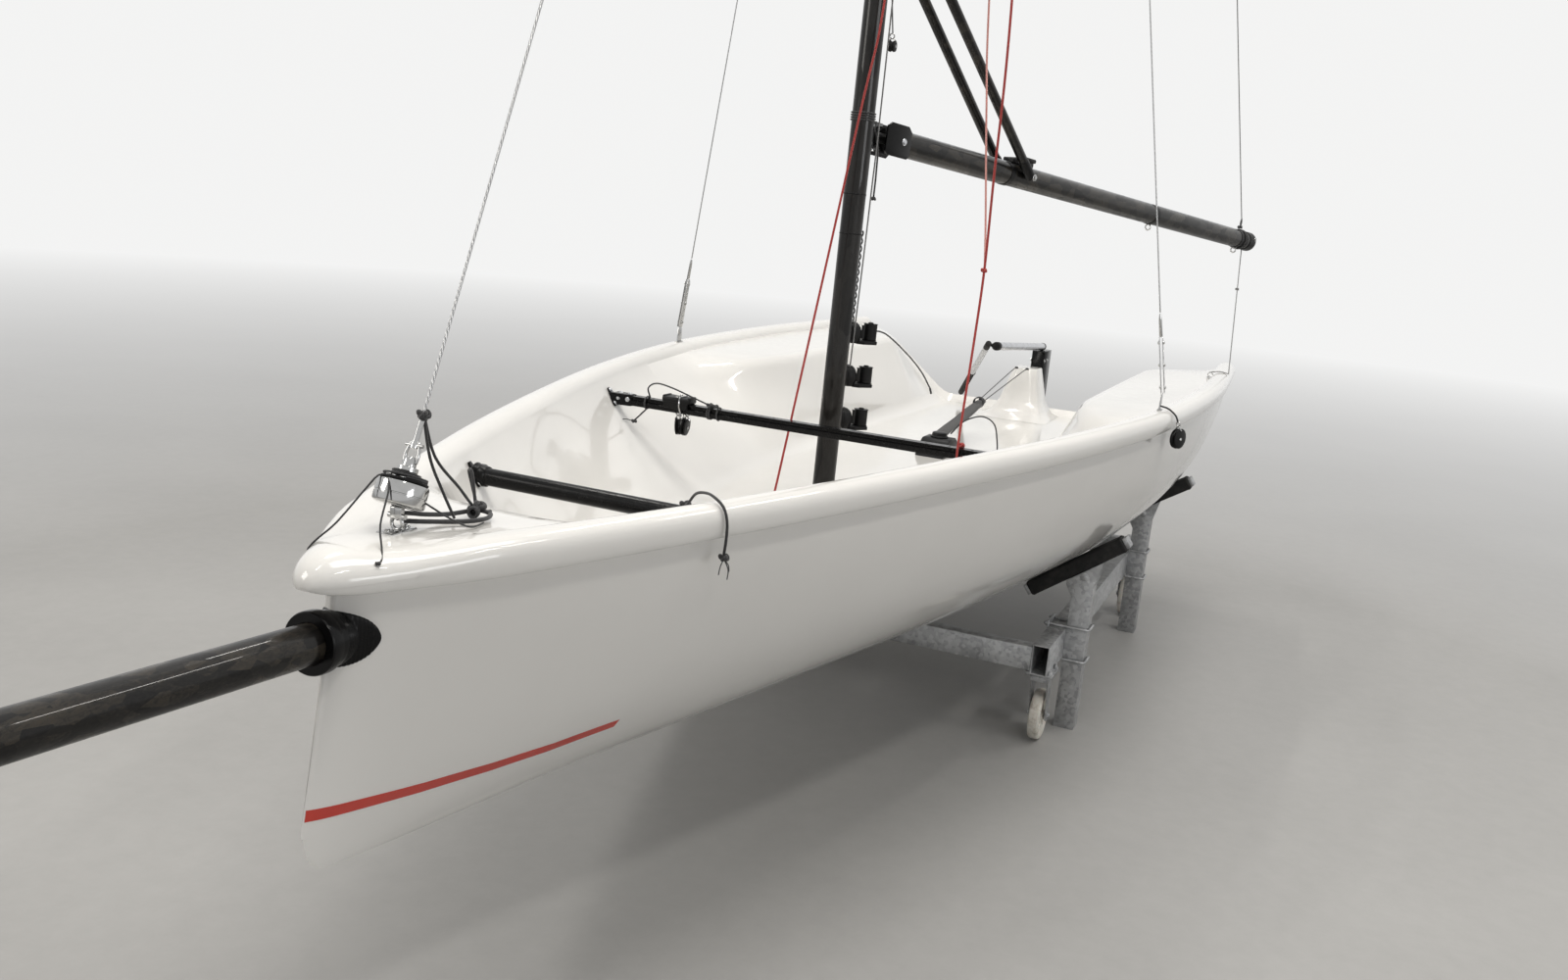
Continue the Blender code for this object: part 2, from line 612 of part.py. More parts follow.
def make_rudder():
    reach = TOWER_BACK - RUDDER_AXIS_X
    for number, height in enumerate(GUDGEON_HEIGHTS, start=1):
        lug = box(f"gudgeon_{number}", (reach + 0.012 - GAP, 0.028, 0.010),
                  (RUDDER_AXIS_X - 0.012 + 0.5 * (reach + 0.012 - GAP), 0.0, height), STEEL)
        boolean(lug, rod(f"gudgeon_hole_{number}", (RUDDER_AXIS_X, 0, height - 0.02),
                         (RUDDER_AXIS_X, 0, height + 0.02), PINTLE + 0.0012, STEEL), "DIFFERENCE")
    swing = empty("rudder_pivot", (RUDDER_AXIS_X, 0.0, 0.0), BOAT)
    depth = HEAD_BACK - HEAD_FRONT
    head = box("rudder_head", (depth, 2 * HEAD_HALF, HEAD_TOP - HEAD_LOW),
               (-0.5 * (HEAD_FRONT + HEAD_BACK), 0.0, 0.5 * (HEAD_LOW + HEAD_TOP)), BLACK, swing)
    slot_top = 0.330
    slot = box("blade_slot", (depth + 0.10, BLADE_SLOT, slot_top - HEAD_LOW + 0.10),
               (-0.5 * (HEAD_FRONT + HEAD_BACK), 0.0, 0.5 * (slot_top + HEAD_LOW - 0.10)),
               BLACK, swing)
    boolean(head, slot, "DIFFERENCE")
    bx, by, bz = BLADE_PIVOT
    local = bx - RUDDER_AXIS_X
    boolean(head, rod("blade_bolt_hole", (local, -0.06, bz), (local, 0.06, bz),
                      PINTLE + 0.0012, BLACK, swing), "DIFFERENCE")
    for number, height in enumerate(GUDGEON_HEIGHTS, start=1):
        arm = box(f"pintle_arm_{number}", (HEAD_FRONT + 0.020, 0.030, 0.012),
                  (-0.5 * HEAD_FRONT, 0.0, height + 0.0165), STEEL, swing)
        boolean(head, arm, "UNION")
        boolean(head, rod(f"pintle_{number}", (0, 0, height - 0.020), (0, 0, height + 0.018),
                          PINTLE, STEEL, swing), "UNION")
    lift = empty("blade_pivot", (local, 0.0, bz), swing, (0.0, BLADE_RAISE, 0.0))
    blade = plate("rudder_blade", BLADE_OUTLINE, BLADE_THICKNESS, GELCOAT, lift, bevel=0.003)
    boolean(blade, rod("blade_bolt", (0, -HEAD_HALF - 0.004, 0), (0, HEAD_HALF + 0.004, 0),
                       PINTLE, STEEL, lift), "UNION")
    jx, jy, jz = TILLER_JOINT
    start = Vector((-0.090, 0.0, HEAD_TOP + 0.5 * TILLER_DIAMETER + GAP))
    joint = Vector((jx - RUDDER_AXIS_X, jy, jz))
    tiller = rod("tiller", start, joint, TILLER_DIAMETER, ALLOY, swing)
    pivot = joint + Vector((-0.012, -EXTENSION_OFFSET, 0.0))
    fold = empty("extension_pivot", pivot, swing)
    end = Vector(EXTENSION_END) - Vector((RUDDER_AXIS_X, 0.0, 0.0)) - pivot
    along = end.normalized()
    across = Vector((along.y, -along.x, 0.0)).normalized()
    boolean(tiller, rod("extension_pin", pivot + (EXTENSION_OFFSET / across.y) * across,
                        pivot + (0.5 * EXTENSION_DIAMETER + GAP) * across, 0.014, BLACK, swing),
            "UNION")
    rod("tiller_extension", -0.018 * along, end, EXTENSION_DIAMETER, ALLOY, fold)


# Mast and boom, in axes that lean aft with the mast
FLOOR_AT_MAST = floor_height(MAST_X)
MAST_FOOT = Vector((MAST_X, 0.0, FLOOR_AT_MAST + GAP + MAST_STEP_HEIGHT + GAP))


def mast_point(height, aft=0.0, side=0.0):
    """A point beside the leaning mast, in boat axes."""
    lean = Matrix.Rotation(-MAST_RAKE, 4, "Y")
    return MAST_FOOT + lean @ Vector((-aft, side, height))


def make_hinge_bracket(name, mast, height, reach_up):
    """A bracket on the mast's aft side with a vertical pin between two tangs."""
    back = PIVOT_SETBACK + 0.022
    front = 0.5 * MAST_DIAMETER - 0.012
    body = box(name, (back - front, 0.034, 2 * reach_up),
               (-0.5 * (back + front), 0.0, height), BLACK, mast)
    gap_front = PIVOT_SETBACK - 0.022
    slot = box(name + "_slot", (0.20, 0.10, 2 * (reach_up - 0.012)),
               (-gap_front - 0.10, 0.0, height), BLACK, mast)
    boolean(body, slot, "DIFFERENCE")
    boolean(body, rod(name + "_mast", (0, 0, height - 0.2), (0, 0, height + 0.2),
                      MAST_DIAMETER + 2 * GAP, BLACK, mast), "DIFFERENCE")
    boolean(body, rod(name + "_pin", (-PIVOT_SETBACK, 0, height - reach_up + 0.002),
                      (-PIVOT_SETBACK, 0, height + reach_up - 0.002), 0.012, STEEL, mast), "UNION")
    return body


def make_rig():
    box("mast_step", (0.16, 0.11, MAST_STEP_HEIGHT),
        (MAST_X, 0.0, FLOOR_AT_MAST + GAP + 0.5 * MAST_STEP_HEIGHT), BLACK)
    mast = empty("mast_frame", MAST_FOOT, BOAT, (0.0, -MAST_RAKE, 0.0))
    lift = 0.5 * MAST_DIAMETER * math.sin(MAST_RAKE)
    rod("mast", (0, 0, lift), (0, 0, MAST_LENGTH), MAST_DIAMETER, CARBON, mast)
    for number, height in enumerate((0.215, 0.330, 0.445), start=1):
        make_cleat_arm(number, height, mast)
    make_hinge_bracket("gooseneck_bracket", mast, GOOSENECK_HEIGHT, 0.034)
    make_hinge_bracket("gnav_bracket", mast, GNAV_HEIGHT, 0.034)
    boom = empty("boom_pivot", (-PIVOT_SETBACK, 0, GOOSENECK_HEIGHT), mast,
                 (0.0, 0.0, -BOOM_SWING))
    drop = Vector((-math.cos(BOOM_DROP), 0.0, -math.sin(BOOM_DROP)))
    eye_half = 0.016
    toggle = rod("boom_toggle", (0, 0, -eye_half), (0, 0, eye_half), 0.030, BLACK, boom)
    boolean(toggle, rod("toggle_shank", 0.010 * drop, 0.100 * drop, 0.026, BLACK, boom), "UNION")
    boolean(toggle, rod("toggle_hole", (0, 0, -0.05), (0, 0, 0.05), 0.0132, BLACK, boom),
            "DIFFERENCE")
    tube_start = 0.060
    tube = rod("boom", tube_start * drop, BOOM_LENGTH * drop, BOOM_DIAMETER, CARBON, boom)
    boolean(tube, rod("boom_socket", 0.040 * drop, (0.100 + GAP) * drop, 0.026 + 2 * GAP, CARBON,
                      boom), "DIFFERENCE")
    rod("boom_end_cap", (BOOM_LENGTH + GAP) * drop, (BOOM_LENGTH + 0.030) * drop,
        BOOM_DIAMETER + 0.006, BLACK, boom)
    rise = GNAV_HEIGHT - GOOSENECK_HEIGHT
    yoke = rod("gnav_yoke", (0, 0, rise - eye_half), (0, 0, rise + eye_half), 0.030, BLACK, boom)
    bar_half = 0.010
    boolean(yoke, box("yoke_bar", (0.034, 0.116, 2 * bar_half), (-0.029, 0.0, rise), BLACK, boom),
            "UNION")
    boolean(yoke, rod("yoke_hole", (0, 0, rise - 0.05), (0, 0, rise + 0.05), 0.0132, BLACK, boom),
            "DIFFERENCE")
    foot = GNAV_FOOT * drop
    beside = 0.5 * (BOOM_DIAMETER + STRUT_DIAMETER) + GAP
    for side, label in ((1, "port"), (-1, "starboard")):
        base = foot + Vector((0.0, side * beside, 0.0))
        head = Vector((-0.034, side * 0.042, rise - bar_half - GAP))
        run = (base - head).normalized()
        head.z -= 0.5 * STRUT_DIAMETER * math.sqrt(1.0 - run.z**2)
        rod(f"gnav_strut_{label}", head, base, STRUT_DIAMETER, CARBON, boom, sides=16)


def make_cleat_arm(number, height, mast):
    """A swivelling arm with two cleat jaws, on the mast's aft side."""
    front = 0.5 * MAST_DIAMETER - 0.010
    arm = box(f"cleat_arm_{number}", (0.060, 0.030, 0.034), (-front - 0.030, 0.0, height), BLACK,
              mast, bevel=0.004)
    boolean(arm, rod(f"arm_mast_{number}", (0, 0, height - 0.1), (0, 0, height + 0.1),
                     MAST_DIAMETER + 2 * GAP, BLACK, mast), "DIFFERENCE")
    boolean(arm, rod(f"arm_drum_{number}", (-0.072, 0, height - 0.014),
                     (-0.072, 0, height + 0.024), 0.044, BLACK, mast), "UNION")
    boolean(arm, rod(f"arm_jaw_{number}", (-0.108, 0, height - 0.010),
                     (-0.108, 0, height + 0.018), 0.032, BLACK, mast), "UNION")
    boolean(arm, box(f"arm_link_{number}", (0.036, 0.026, 0.014), (-0.092, 0, height), BLACK,
                     mast), "UNION")


def make_stays():
    hounds = HOUNDS_HEIGHT
    beside = 0.5 * (MAST_DIAMETER + STAY_DIAMETER) + GAP
    fore_top = mast_point(hounds, aft=-(beside + 0.0005))
    furler_base = Vector((FURLER_X, 0.0, straight_value(FURLER_X + 0.025, INNER_STATIONS, 5)))
    plate_high, link_high, neck = 0.018, 0.026, 0.092
    drum_low = furler_base + Vector((0.0, 0.0, plate_high + link_high))
    lean = (fore_top - drum_low).normalized()
    box("bow_chainplate", (0.050, 0.030, plate_high),
        (FURLER_X, 0.0, furler_base.z + GAP + 0.5 * plate_high), STEEL)
    drum = turned("furler_drum", ((0.0, 0.034), (0.003, 0.0385), (0.035, 0.0385), (0.038, 0.036),
                                  (0.042, 0.030), (0.046, 0.030), (0.050, 0.013), (neck, 0.010)),
                  drum_low, lean, STEEL)
    boolean(drum, rod("drum_link", furler_base + Vector((0, 0, plate_high + 3 * GAP)),
                      drum_low + Vector((0, 0, 0.010)), 0.020, STEEL), "UNION")
    rod("forestay", drum_low + (neck + GAP) * lean, fore_top, STAY_DIAMETER + 0.001, STEEL,
        sides=WIRE_SIDES)
    for side, label in ((1, "port"), (-1, "starboard")):
        x = CHAINPLATE_X
        y = side * (smooth_value(x, HULL_STATIONS, 2) - 0.012)
        z = max(lip_height(x + dx, abs(y) + dy) for dx in (-0.015, 0.015) for dy in (-0.003, 0.003))
        foot = Vector((x, y, z + 0.055))
        top = mast_point(hounds, side=side * beside)
        box(f"chainplate_{label}", (0.030, 0.006, 0.054), (x, y, z + 0.027 + GAP), STEEL)
        up = (top - foot).normalized()
        rod(f"shroud_{label}", foot + (0.005 + 3 * GAP) * up, top, STAY_DIAMETER, STEEL,
            sides=WIRE_SIDES)


def wall_flange(name, x, z, size, thickness, side):
    """A flat flange lying against the well's side wall."""
    step = 0.5 * size
    slope_x = (inner_wall(x + step, z) - inner_wall(x - step, z)) / (2 * step)
    slope_z = (inner_wall(x, z + step) - inner_wall(x, z - step)) / (2 * step)
    normal = Vector((-slope_x, 1.0, -slope_z)).normalized()
    foot = Vector((x, inner_wall(x, z), z))
    reach = min((Vector((x + dx, inner_wall(x + dx, z + dz), z + dz)) - foot).dot(normal)
                for dx in np.linspace(-step, step, 7) for dz in np.linspace(-step, step, 7))
    centre = foot + (reach - 2 * GAP - 0.5 * thickness) * normal
    centre.y *= side
    normal.y *= side
    item = box(name, (size, size, thickness), (0.0, 0.0, 0.0), BLACK)
    item.data.transform(Matrix.Translation(centre) @ normal.to_track_quat("Z", "X").to_matrix()
                        .to_4x4())
    return item


def make_deck_gear():
    x, z = TRACK_PLACE
    flanges = [wall_flange(f"track_flange_{side}", x, z, 0.044, 0.006, side) for side in (1, -1)]
    half = span_half(x, z, 0.013)
    track = box("jib_track", (0.026, 2 * half, 0.026), (x, 0.0, z), BLACK)
    for item in flanges:
        boolean(track, item, "UNION")
    box("jib_car", (0.060, 0.075, 0.016), (x, -0.36, z + 0.013 + 0.008 + GAP), BLACK, bevel=0.002)
    x, z = CROSSBAR_PLACE
    flanges = [wall_flange(f"crossbar_flange_{side}", x, z, 0.044, 0.006, side)
               for side in (1, -1)]
    half = span_half(x, z, 0.017)
    bar = rod("bow_crossbar", (x, -half, z), (x, half, z), 0.034, BLACK)
    for item in flanges:
        boolean(bar, item, "UNION")
    base_x, base_high = 1.30, 0.055
    low = floor_height(base_x) + GAP
    plate("mainsheet_base", ((-0.10, 0.0), (0.10, 0.0), (0.035, base_high), (-0.035, base_high)),
          0.10, BLACK, centre=(base_x, 0.0, low), bevel=0.004)
    strap_length, strap_thick, rise = 0.52, 0.007, math.radians(7.0)
    fore_low = Vector((base_x, 0.0, low + base_high + GAP))
    middle = fore_low + Vector((-0.5 * strap_length * math.cos(rise)
                                + 0.5 * strap_thick * math.sin(rise), 0.0,
                                0.5 * strap_length * math.sin(rise)
                                + 0.5 * strap_thick * math.cos(rise)))
    box("hiking_strap", (strap_length, 0.045, strap_thick), middle, WEBBING,
        rotation=(0.0, rise, 0.0))


# Cradle, in ground axes: x as on the boat, z up from the floor
POSTS_X = (0.62, 1.74)
CASTORS_X = (0.43, 1.93)
BEAM_ENDS_X = (0.37, 1.99)
CROSS_X = (BEAM_ENDS_X[0] + 0.5 * BEAM_WIDTH, BEAM_ENDS_X[1] - 0.5 * BEAM_WIDTH)
POST_Y = 0.5 * BEAM_SPAN + BEAM_WIDTH + 0.5 * POST_SIZE + GAP
BEAM_Y = 0.5 * BEAM_SPAN + 0.5 * BEAM_WIDTH
WALL = 0.004


def square_tube(name, size, centre, along, parent):
    """A rectangular tube with open ends; along is the index of its long axis."""
    body = box(name, size, centre, GALVANISED, parent)
    hole = [value - 2 * WALL for value in size]
    hole[along] = size[along] + 0.02
    boolean(body, box(name + "_bore", hole, centre, GALVANISED, parent), "DIFFERENCE")
    return body


def pad_contact(x, y, half_width):
    """Where a flat pad touches the skin near half breadth y: its foot point and outward normal."""
    half = between(x, outer_half)
    k = min(range(1, len(half) - 1), key=lambda i: abs(half[i][0] - y))
    ty, tz = half[k + 1][0] - half[k - 1][0], half[k + 1][1] - half[k - 1][1]
    size = math.hypot(ty, tz)
    normal = (tz / size, -ty / size)
    reach = max(py * normal[0] + pz * normal[1]
                for sx in (x - half_width, x, x + half_width)
                for py, pz in between(sx, outer_half))
    base = half[k][0] * normal[0] + half[k][1] * normal[1]
    return (half[k][0] + (reach - base) * normal[0], half[k][1] + (reach - base) * normal[1]), normal


def make_cradle():
    length = BEAM_ENDS_X[1] - BEAM_ENDS_X[0]
    middle = 0.5 * (BEAM_ENDS_X[0] + BEAM_ENDS_X[1])
    for side, label in ((1, "port"), (-1, "starboard")):
        beam = square_tube(f"cradle_beam_{label}", (length, BEAM_WIDTH, BEAM_DEPTH),
                           (middle, side * BEAM_Y, BEAM_HEIGHT), 0, GROUND)
        for x, place in zip(POSTS_X, ("aft", "fore")):
            make_post(x, side, f"{place}_{label}")
        for x, place in zip(CASTORS_X, ("aft", "fore")):
            make_castor(beam, x, side * BEAM_Y, f"{place}_{label}")
    for x, place in zip(CROSS_X, ("aft", "fore")):
        square_tube(f"cradle_cross_{place}", (BEAM_WIDTH, BEAM_SPAN - 2 * GAP, BEAM_DEPTH - 0.02),
                    (x, 0.0, BEAM_HEIGHT), 1, GROUND)


def make_post(x, side, label):
    pad_long, pad_wide, pad_thick = 0.34, 0.060, 0.045
    (cy, cz), (ny, nz) = pad_contact(x, POST_Y - 0.03, 0.5 * pad_wide)
    lean = math.atan2(ny, -nz)
    centre_y = cy + (0.5 * pad_thick + GAP) * ny
    centre_z = KEEL_HEIGHT + cz + (0.5 * pad_thick + GAP) * nz
    box(f"cradle_pad_{label}", (pad_wide, pad_long, pad_thick), (x, side * centre_y, centre_z),
        RUBBER, GROUND, bevel=0.004, rotation=(side * lean, 0.0, 0.0))
    slope = math.tan(lean)
    under_y = centre_y + (0.5 * pad_thick + GAP) * ny
    under_z = centre_z + (0.5 * pad_thick + GAP) * nz
    head_z = under_z + (POST_Y - under_y) * slope
    half = 0.5 * POST_SIZE
    post_top = head_z - half * slope - 0.006
    post = square_tube(f"cradle_post_{label}", (POST_SIZE, POST_SIZE, post_top),
                       (x, side * POST_Y, 0.5 * post_top), 2, GROUND)
    flare = 0.050
    outline = [(-half, post_top - 0.055), (half, post_top - 0.055), (half, post_top - 0.020),
               (flare, head_z + flare * slope), (-flare, head_z - flare * slope),
               (-flare, head_z - flare * slope - 0.012)]
    for offset in (-1, 1):
        cheek = plate(f"post_cheek_{label}_{offset}",
                      [(side * (POST_Y + y), z) for y, z in outline], 0.006, GALVANISED, GROUND,
                      plane="YZ", centre=(x + offset * (half - 0.004), 0.0, 0.0))
        boolean(post, cheek, "UNION")


def make_castor(beam, x, y, label):
    beam_low = BEAM_HEIGHT - 0.5 * BEAM_DEPTH
    plate_low = beam_low - 0.008
    axle_z = 0.5 * CASTOR_WHEEL + 0.0005
    trail = 0.034
    boolean(beam, box(f"castor_plate_{label}", (0.095, 0.075, 0.010), (x, y, plate_low + 0.005),
                      GALVANISED, GROUND), "UNION")
    boolean(beam, rod(f"castor_stem_{label}", (x, y, plate_low - 0.020),
                      (x, y, plate_low + 0.004), 0.020, GALVANISED, GROUND), "UNION")
    swivel = empty(f"castor_swivel_{label}", (x, y, 0.0), GROUND)
    crown_top = plate_low - 0.006
    fork = box(f"castor_fork_{label}", (0.056, 0.052, 0.014), (0, 0, crown_top - 0.007),
               GALVANISED, swivel)
    boolean(fork, rod(f"crown_hole_{label}", (0, 0, crown_top - 0.0155), (0, 0, crown_top + 0.02),
                      0.0215, GALVANISED, swivel), "DIFFERENCE")
    for side in (-1, 1):
        leg = plate(f"fork_leg_{label}_{side}",
                    ((-0.026, crown_top - 0.004), (0.026, crown_top - 0.004),
                     (-trail + 0.016, axle_z - 0.012), (-trail, axle_z - 0.018),
                     (-trail - 0.016, axle_z - 0.012)), 0.004, GALVANISED, swivel,
                    centre=(0, side * 0.0235, 0))
        boolean(fork, leg, "UNION")
    boolean(fork, rod(f"axle_{label}", (-trail, -0.025, axle_z), (-trail, 0.025, axle_z), 0.012,
                      STEEL, swivel), "UNION")
    hub = empty(f"castor_axle_{label}", (-trail, 0.0, axle_z), swivel)
    wheel = turned(f"castor_wheel_{label}",
                   ((-0.0165, 0.050), (-0.014, 0.5 * CASTOR_WHEEL - 0.003),
                    (-0.008, 0.5 * CASTOR_WHEEL), (0.008, 0.5 * CASTOR_WHEEL),
                    (0.014, 0.5 * CASTOR_WHEEL - 0.003), (0.0165, 0.050)),
                   (0, 0, 0), (0, 1, 0), NYLON, hub, sides=36)
    boolean(wheel, rod(f"wheel_bore_{label}", (0, -0.03, 0), (0, 0.03, 0), 0.0132, NYLON, hub),
            "DIFFERENCE")


HULL = make_hull()
DECK = make_deck()
make_bowsprit(HULL, DECK)
make_board_case(HULL, DECK)
make_tower()
make_rudder()
make_rig()
make_stays()
make_deck_gear()
make_cradle()
bpy.context.view_layer.update()
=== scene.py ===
import math

import bmesh
import bpy
import numpy as np
from mathutils import Matrix, Vector
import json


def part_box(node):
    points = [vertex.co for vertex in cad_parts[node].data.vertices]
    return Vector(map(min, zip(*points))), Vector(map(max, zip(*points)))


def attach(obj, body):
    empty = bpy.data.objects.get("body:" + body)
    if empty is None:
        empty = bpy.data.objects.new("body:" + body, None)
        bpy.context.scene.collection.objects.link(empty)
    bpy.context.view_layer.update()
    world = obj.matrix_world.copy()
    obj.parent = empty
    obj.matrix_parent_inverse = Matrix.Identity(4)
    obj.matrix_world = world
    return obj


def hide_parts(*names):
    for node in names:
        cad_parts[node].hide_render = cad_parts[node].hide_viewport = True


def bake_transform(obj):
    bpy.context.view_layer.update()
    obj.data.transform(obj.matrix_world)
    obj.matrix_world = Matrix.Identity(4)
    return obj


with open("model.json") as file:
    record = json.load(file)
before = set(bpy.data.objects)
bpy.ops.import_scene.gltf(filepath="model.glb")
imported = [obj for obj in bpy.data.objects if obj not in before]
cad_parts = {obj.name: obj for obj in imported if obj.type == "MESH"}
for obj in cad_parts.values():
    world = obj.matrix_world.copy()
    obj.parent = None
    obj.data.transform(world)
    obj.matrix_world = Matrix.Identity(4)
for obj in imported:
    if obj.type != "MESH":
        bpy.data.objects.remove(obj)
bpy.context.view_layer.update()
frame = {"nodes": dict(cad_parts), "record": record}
BODY_OF = {node: body for body, nodes in frame["record"]["behaviour"]["bodies"].items()
           for node in nodes}

# The photograph's camera
LENS_MM = 30.9
CAMERA_PLACE = Vector((3.409, 1.24, 1.493))
CAMERA_RIGHT = Vector((-0.397, 0.913, 0.090))
CAMERA_UP = Vector((-0.163, -0.167, 0.972))

# Sizes repeated from the part's source, in metres. The steps are finer, and INNER_STATIONS has
# crisper tank fronts at 1.75 and 1.90 and a slightly fuller bow deck from 3.86 on.
MIDDLE_X, KEEL_HEIGHT = 2.2357916, 0.37
LIP_OVERHANG, LIP_HEIGHT, LIP_WIDTH = 0.028, 0.058, 0.072
STEM_X, STEM_TOP_X, STEM_FOOT_HEIGHT, RAKE_START_X = 4.284, 4.226, 0.190, 3.90
NOSE_X, NOSE_START_X, NOSE_BLUFFNESS, SEAM_AT_BOW = 4.300, 4.220, 0.2875, 0.534
FLOOR_RADIUS, DECK_THICKNESS, GAP = 0.045, 0.010, 0.0003
OUTER_STEPS, FILLET_STEPS, LIP_STEPS = 31, 8, 8
STATION_SPACING, NOSE_SPACING = 0.035, 0.006
FLOOR_TOP = 0.3103
MAST_X, MAST_RADIUS, MAST_LENGTH, MAST_RAKE = 2.36, 0.029, 6.15, math.radians(1.5)
GOOSENECK_HEIGHT, GNAV_HEIGHT, PIVOT_SETBACK, HOUNDS = 0.955, 1.50, 0.085, 4.75
BOOM_LENGTH, BOOM_RADIUS = 2.36, 0.033
BOOM_DROP, BOOM_SWING, GNAV_FOOT = math.radians(3.1), math.radians(19.0), 0.70
SPRIT_TILT, SPRIT_STEM = math.radians(3.1), (4.27, 0.464)
SPRIT_REACH, SPRIT_INBOARD = 1.018, 0.46
CHAINPLATE_X, FURLER_X = 1.78, 4.10
TRACK_PLACE, CROSSBAR_PLACE, CAR_Y = (2.53, 0.548), (3.55, 0.545), -0.36
SIDES = ((1, "port"), (-1, "starboard"))
HULL_STATIONS = (
    (0.00, 0.070, 0.782, 0.562, 2.60),
    (0.90, 0.022, 0.820, 0.566, 2.50),
    (1.60, 0.002, 0.792, 0.566, 2.35),
    (2.00, 0.000, 0.742, 0.564, 2.20),
    (2.45, 0.000, 0.652, 0.560, 2.05),
    (2.90, 0.004, 0.532, 0.555, 1.85),
    (3.37, 0.018, 0.388, 0.548, 1.60),
    (3.80, 0.056, 0.232, 0.540, 1.38),
    (4.10, 0.092, 0.110, SEAM_AT_BOW, 1.22),
    (4.20, 0.107, 0.064, SEAM_AT_BOW, 1.16),
    (4.24, 0.114, 0.044, SEAM_AT_BOW, 1.13),
    (4.262, 0.126, 0.030, SEAM_AT_BOW, 1.11),
    (4.276, 0.146, 0.017, SEAM_AT_BOW, 1.10),
    (STEM_X, 0.176, 0.007, SEAM_AT_BOW, 1.10),
)
INNER_STATIONS = (
    (0.00, 0.400, 0.336, 0.660, 0.560, 0.590, 0.050),
    (0.035, 0.410, 0.310, 0.655, 0.570, 0.592, 0.045),
    (0.18, 0.430, 0.310, 0.590, 0.582, 0.596, 0.035),
    (0.40, 0.440, 0.310, 0.508, 0.588, 0.598, 0.030),
    (1.45, 0.440, 0.310, 0.500, 0.590, 0.598, 0.030),
    (1.60, 0.445, 0.310, 0.515, 0.588, 0.597, 0.035),
    (1.75, 0.450, 0.310, 0.558, 0.578, 0.595, 0.040),
    (1.90, 0.450, 0.310, 0.622, 0.540, 0.592, 0.070),
    (2.10, 0.425, 0.310, 0.615, 0.520, 0.590, 0.100),
    (2.45, 0.350, 0.310, 0.540, 0.490, 0.586, 0.100),
    (2.90, 0.250, 0.312, 0.430, 0.470, 0.580, 0.100),
    (3.37, 0.140, 0.318, 0.270, 0.455, 0.574, 0.080),
    (3.66, 0.070, 0.330, 0.150, 0.450, 0.572, 0.050),
    (3.86, 0.060, 0.580, 0.090, 0.580, 0.584, 0.020),
    (4.10, 0.020, 0.5895, 0.040, 0.5895, 0.5900, 0.010),
    (NOSE_X, 0.003, 0.5900, 0.005, 0.5900, 0.5905, 0.001),
)


def spread(start, end, count):
    """Evenly spaced values from start to end."""
    return [start + (end - start) * k / (count - 1) for k in range(count)]


def place(x, y, z):
    """A point given in boat axes, in the row frame."""
    return Vector((x - MIDDLE_X, y, z + KEEL_HEIGHT))


MAST_FOOT = place(MAST_X, 0.0, 0.3326)
MAST_TURN = Matrix.Rotation(-MAST_RAKE, 4, "Y")
MAST_UP = MAST_TURN @ Vector((0, 0, 1))


def mast_place(height, aft=0.0, side=0.0):
    """A point beside the leaning mast, in the row frame."""
    return MAST_FOOT + MAST_TURN @ Vector((-aft, side, height))


BOOM_FRAME = (Matrix.Translation(mast_place(GOOSENECK_HEIGHT, PIVOT_SETBACK)) @ MAST_TURN
              @ Matrix.Rotation(-BOOM_SWING, 4, "Z"))
BOOM_ALONG = Vector((-math.cos(BOOM_DROP), 0.0, -math.sin(BOOM_DROP)))
BOOM_UP = Vector((-math.sin(BOOM_DROP), 0.0, math.cos(BOOM_DROP)))
SPRIT_AXIS = Vector((math.cos(SPRIT_TILT), 0.0, math.sin(SPRIT_TILT)))
SPRIT_ROOT = place(SPRIT_STEM[0], 0.0, SPRIT_STEM[1])
UPRIGHT = Matrix(((1, 0, 0), (0, 0, -1), (0, 1, 0))).to_4x4()


def boom_place(along, up=0.0, side=0.0):
    """A point by the boom: distance from its hinge, height over its middle and distance to port."""
    return BOOM_FRAME @ (along * BOOM_ALONG + up * BOOM_UP + Vector((0.0, side, 0.0)))


def put(name, data):
    """A new object in the scene."""
    item = bpy.data.objects.new(name, data)
    bpy.context.scene.collection.objects.link(item)
    return item


def axes(x, y, z, origin=(0, 0, 0)):
    """A frame with the given axes and origin."""
    return Matrix.Translation(origin) @ Matrix((x, y, z)).transposed().to_4x4()


def angles(count):
    """The angles of points evenly spaced round a circle."""
    return [2 * math.pi * k / count for k in range(count)]


# Camera

def make_camera():
    data = bpy.data.cameras.new("view")
    data.lens = LENS_MM
    data.sensor_width = 36.0
    item = put("view", data)
    back = CAMERA_RIGHT.cross(CAMERA_UP).normalized()
    up = back.cross(CAMERA_RIGHT).normalized()
    item.matrix_world = axes(up.cross(back).normalized(), up, back, CAMERA_PLACE)
    bpy.context.scene.camera = item


make_camera()


# Materials

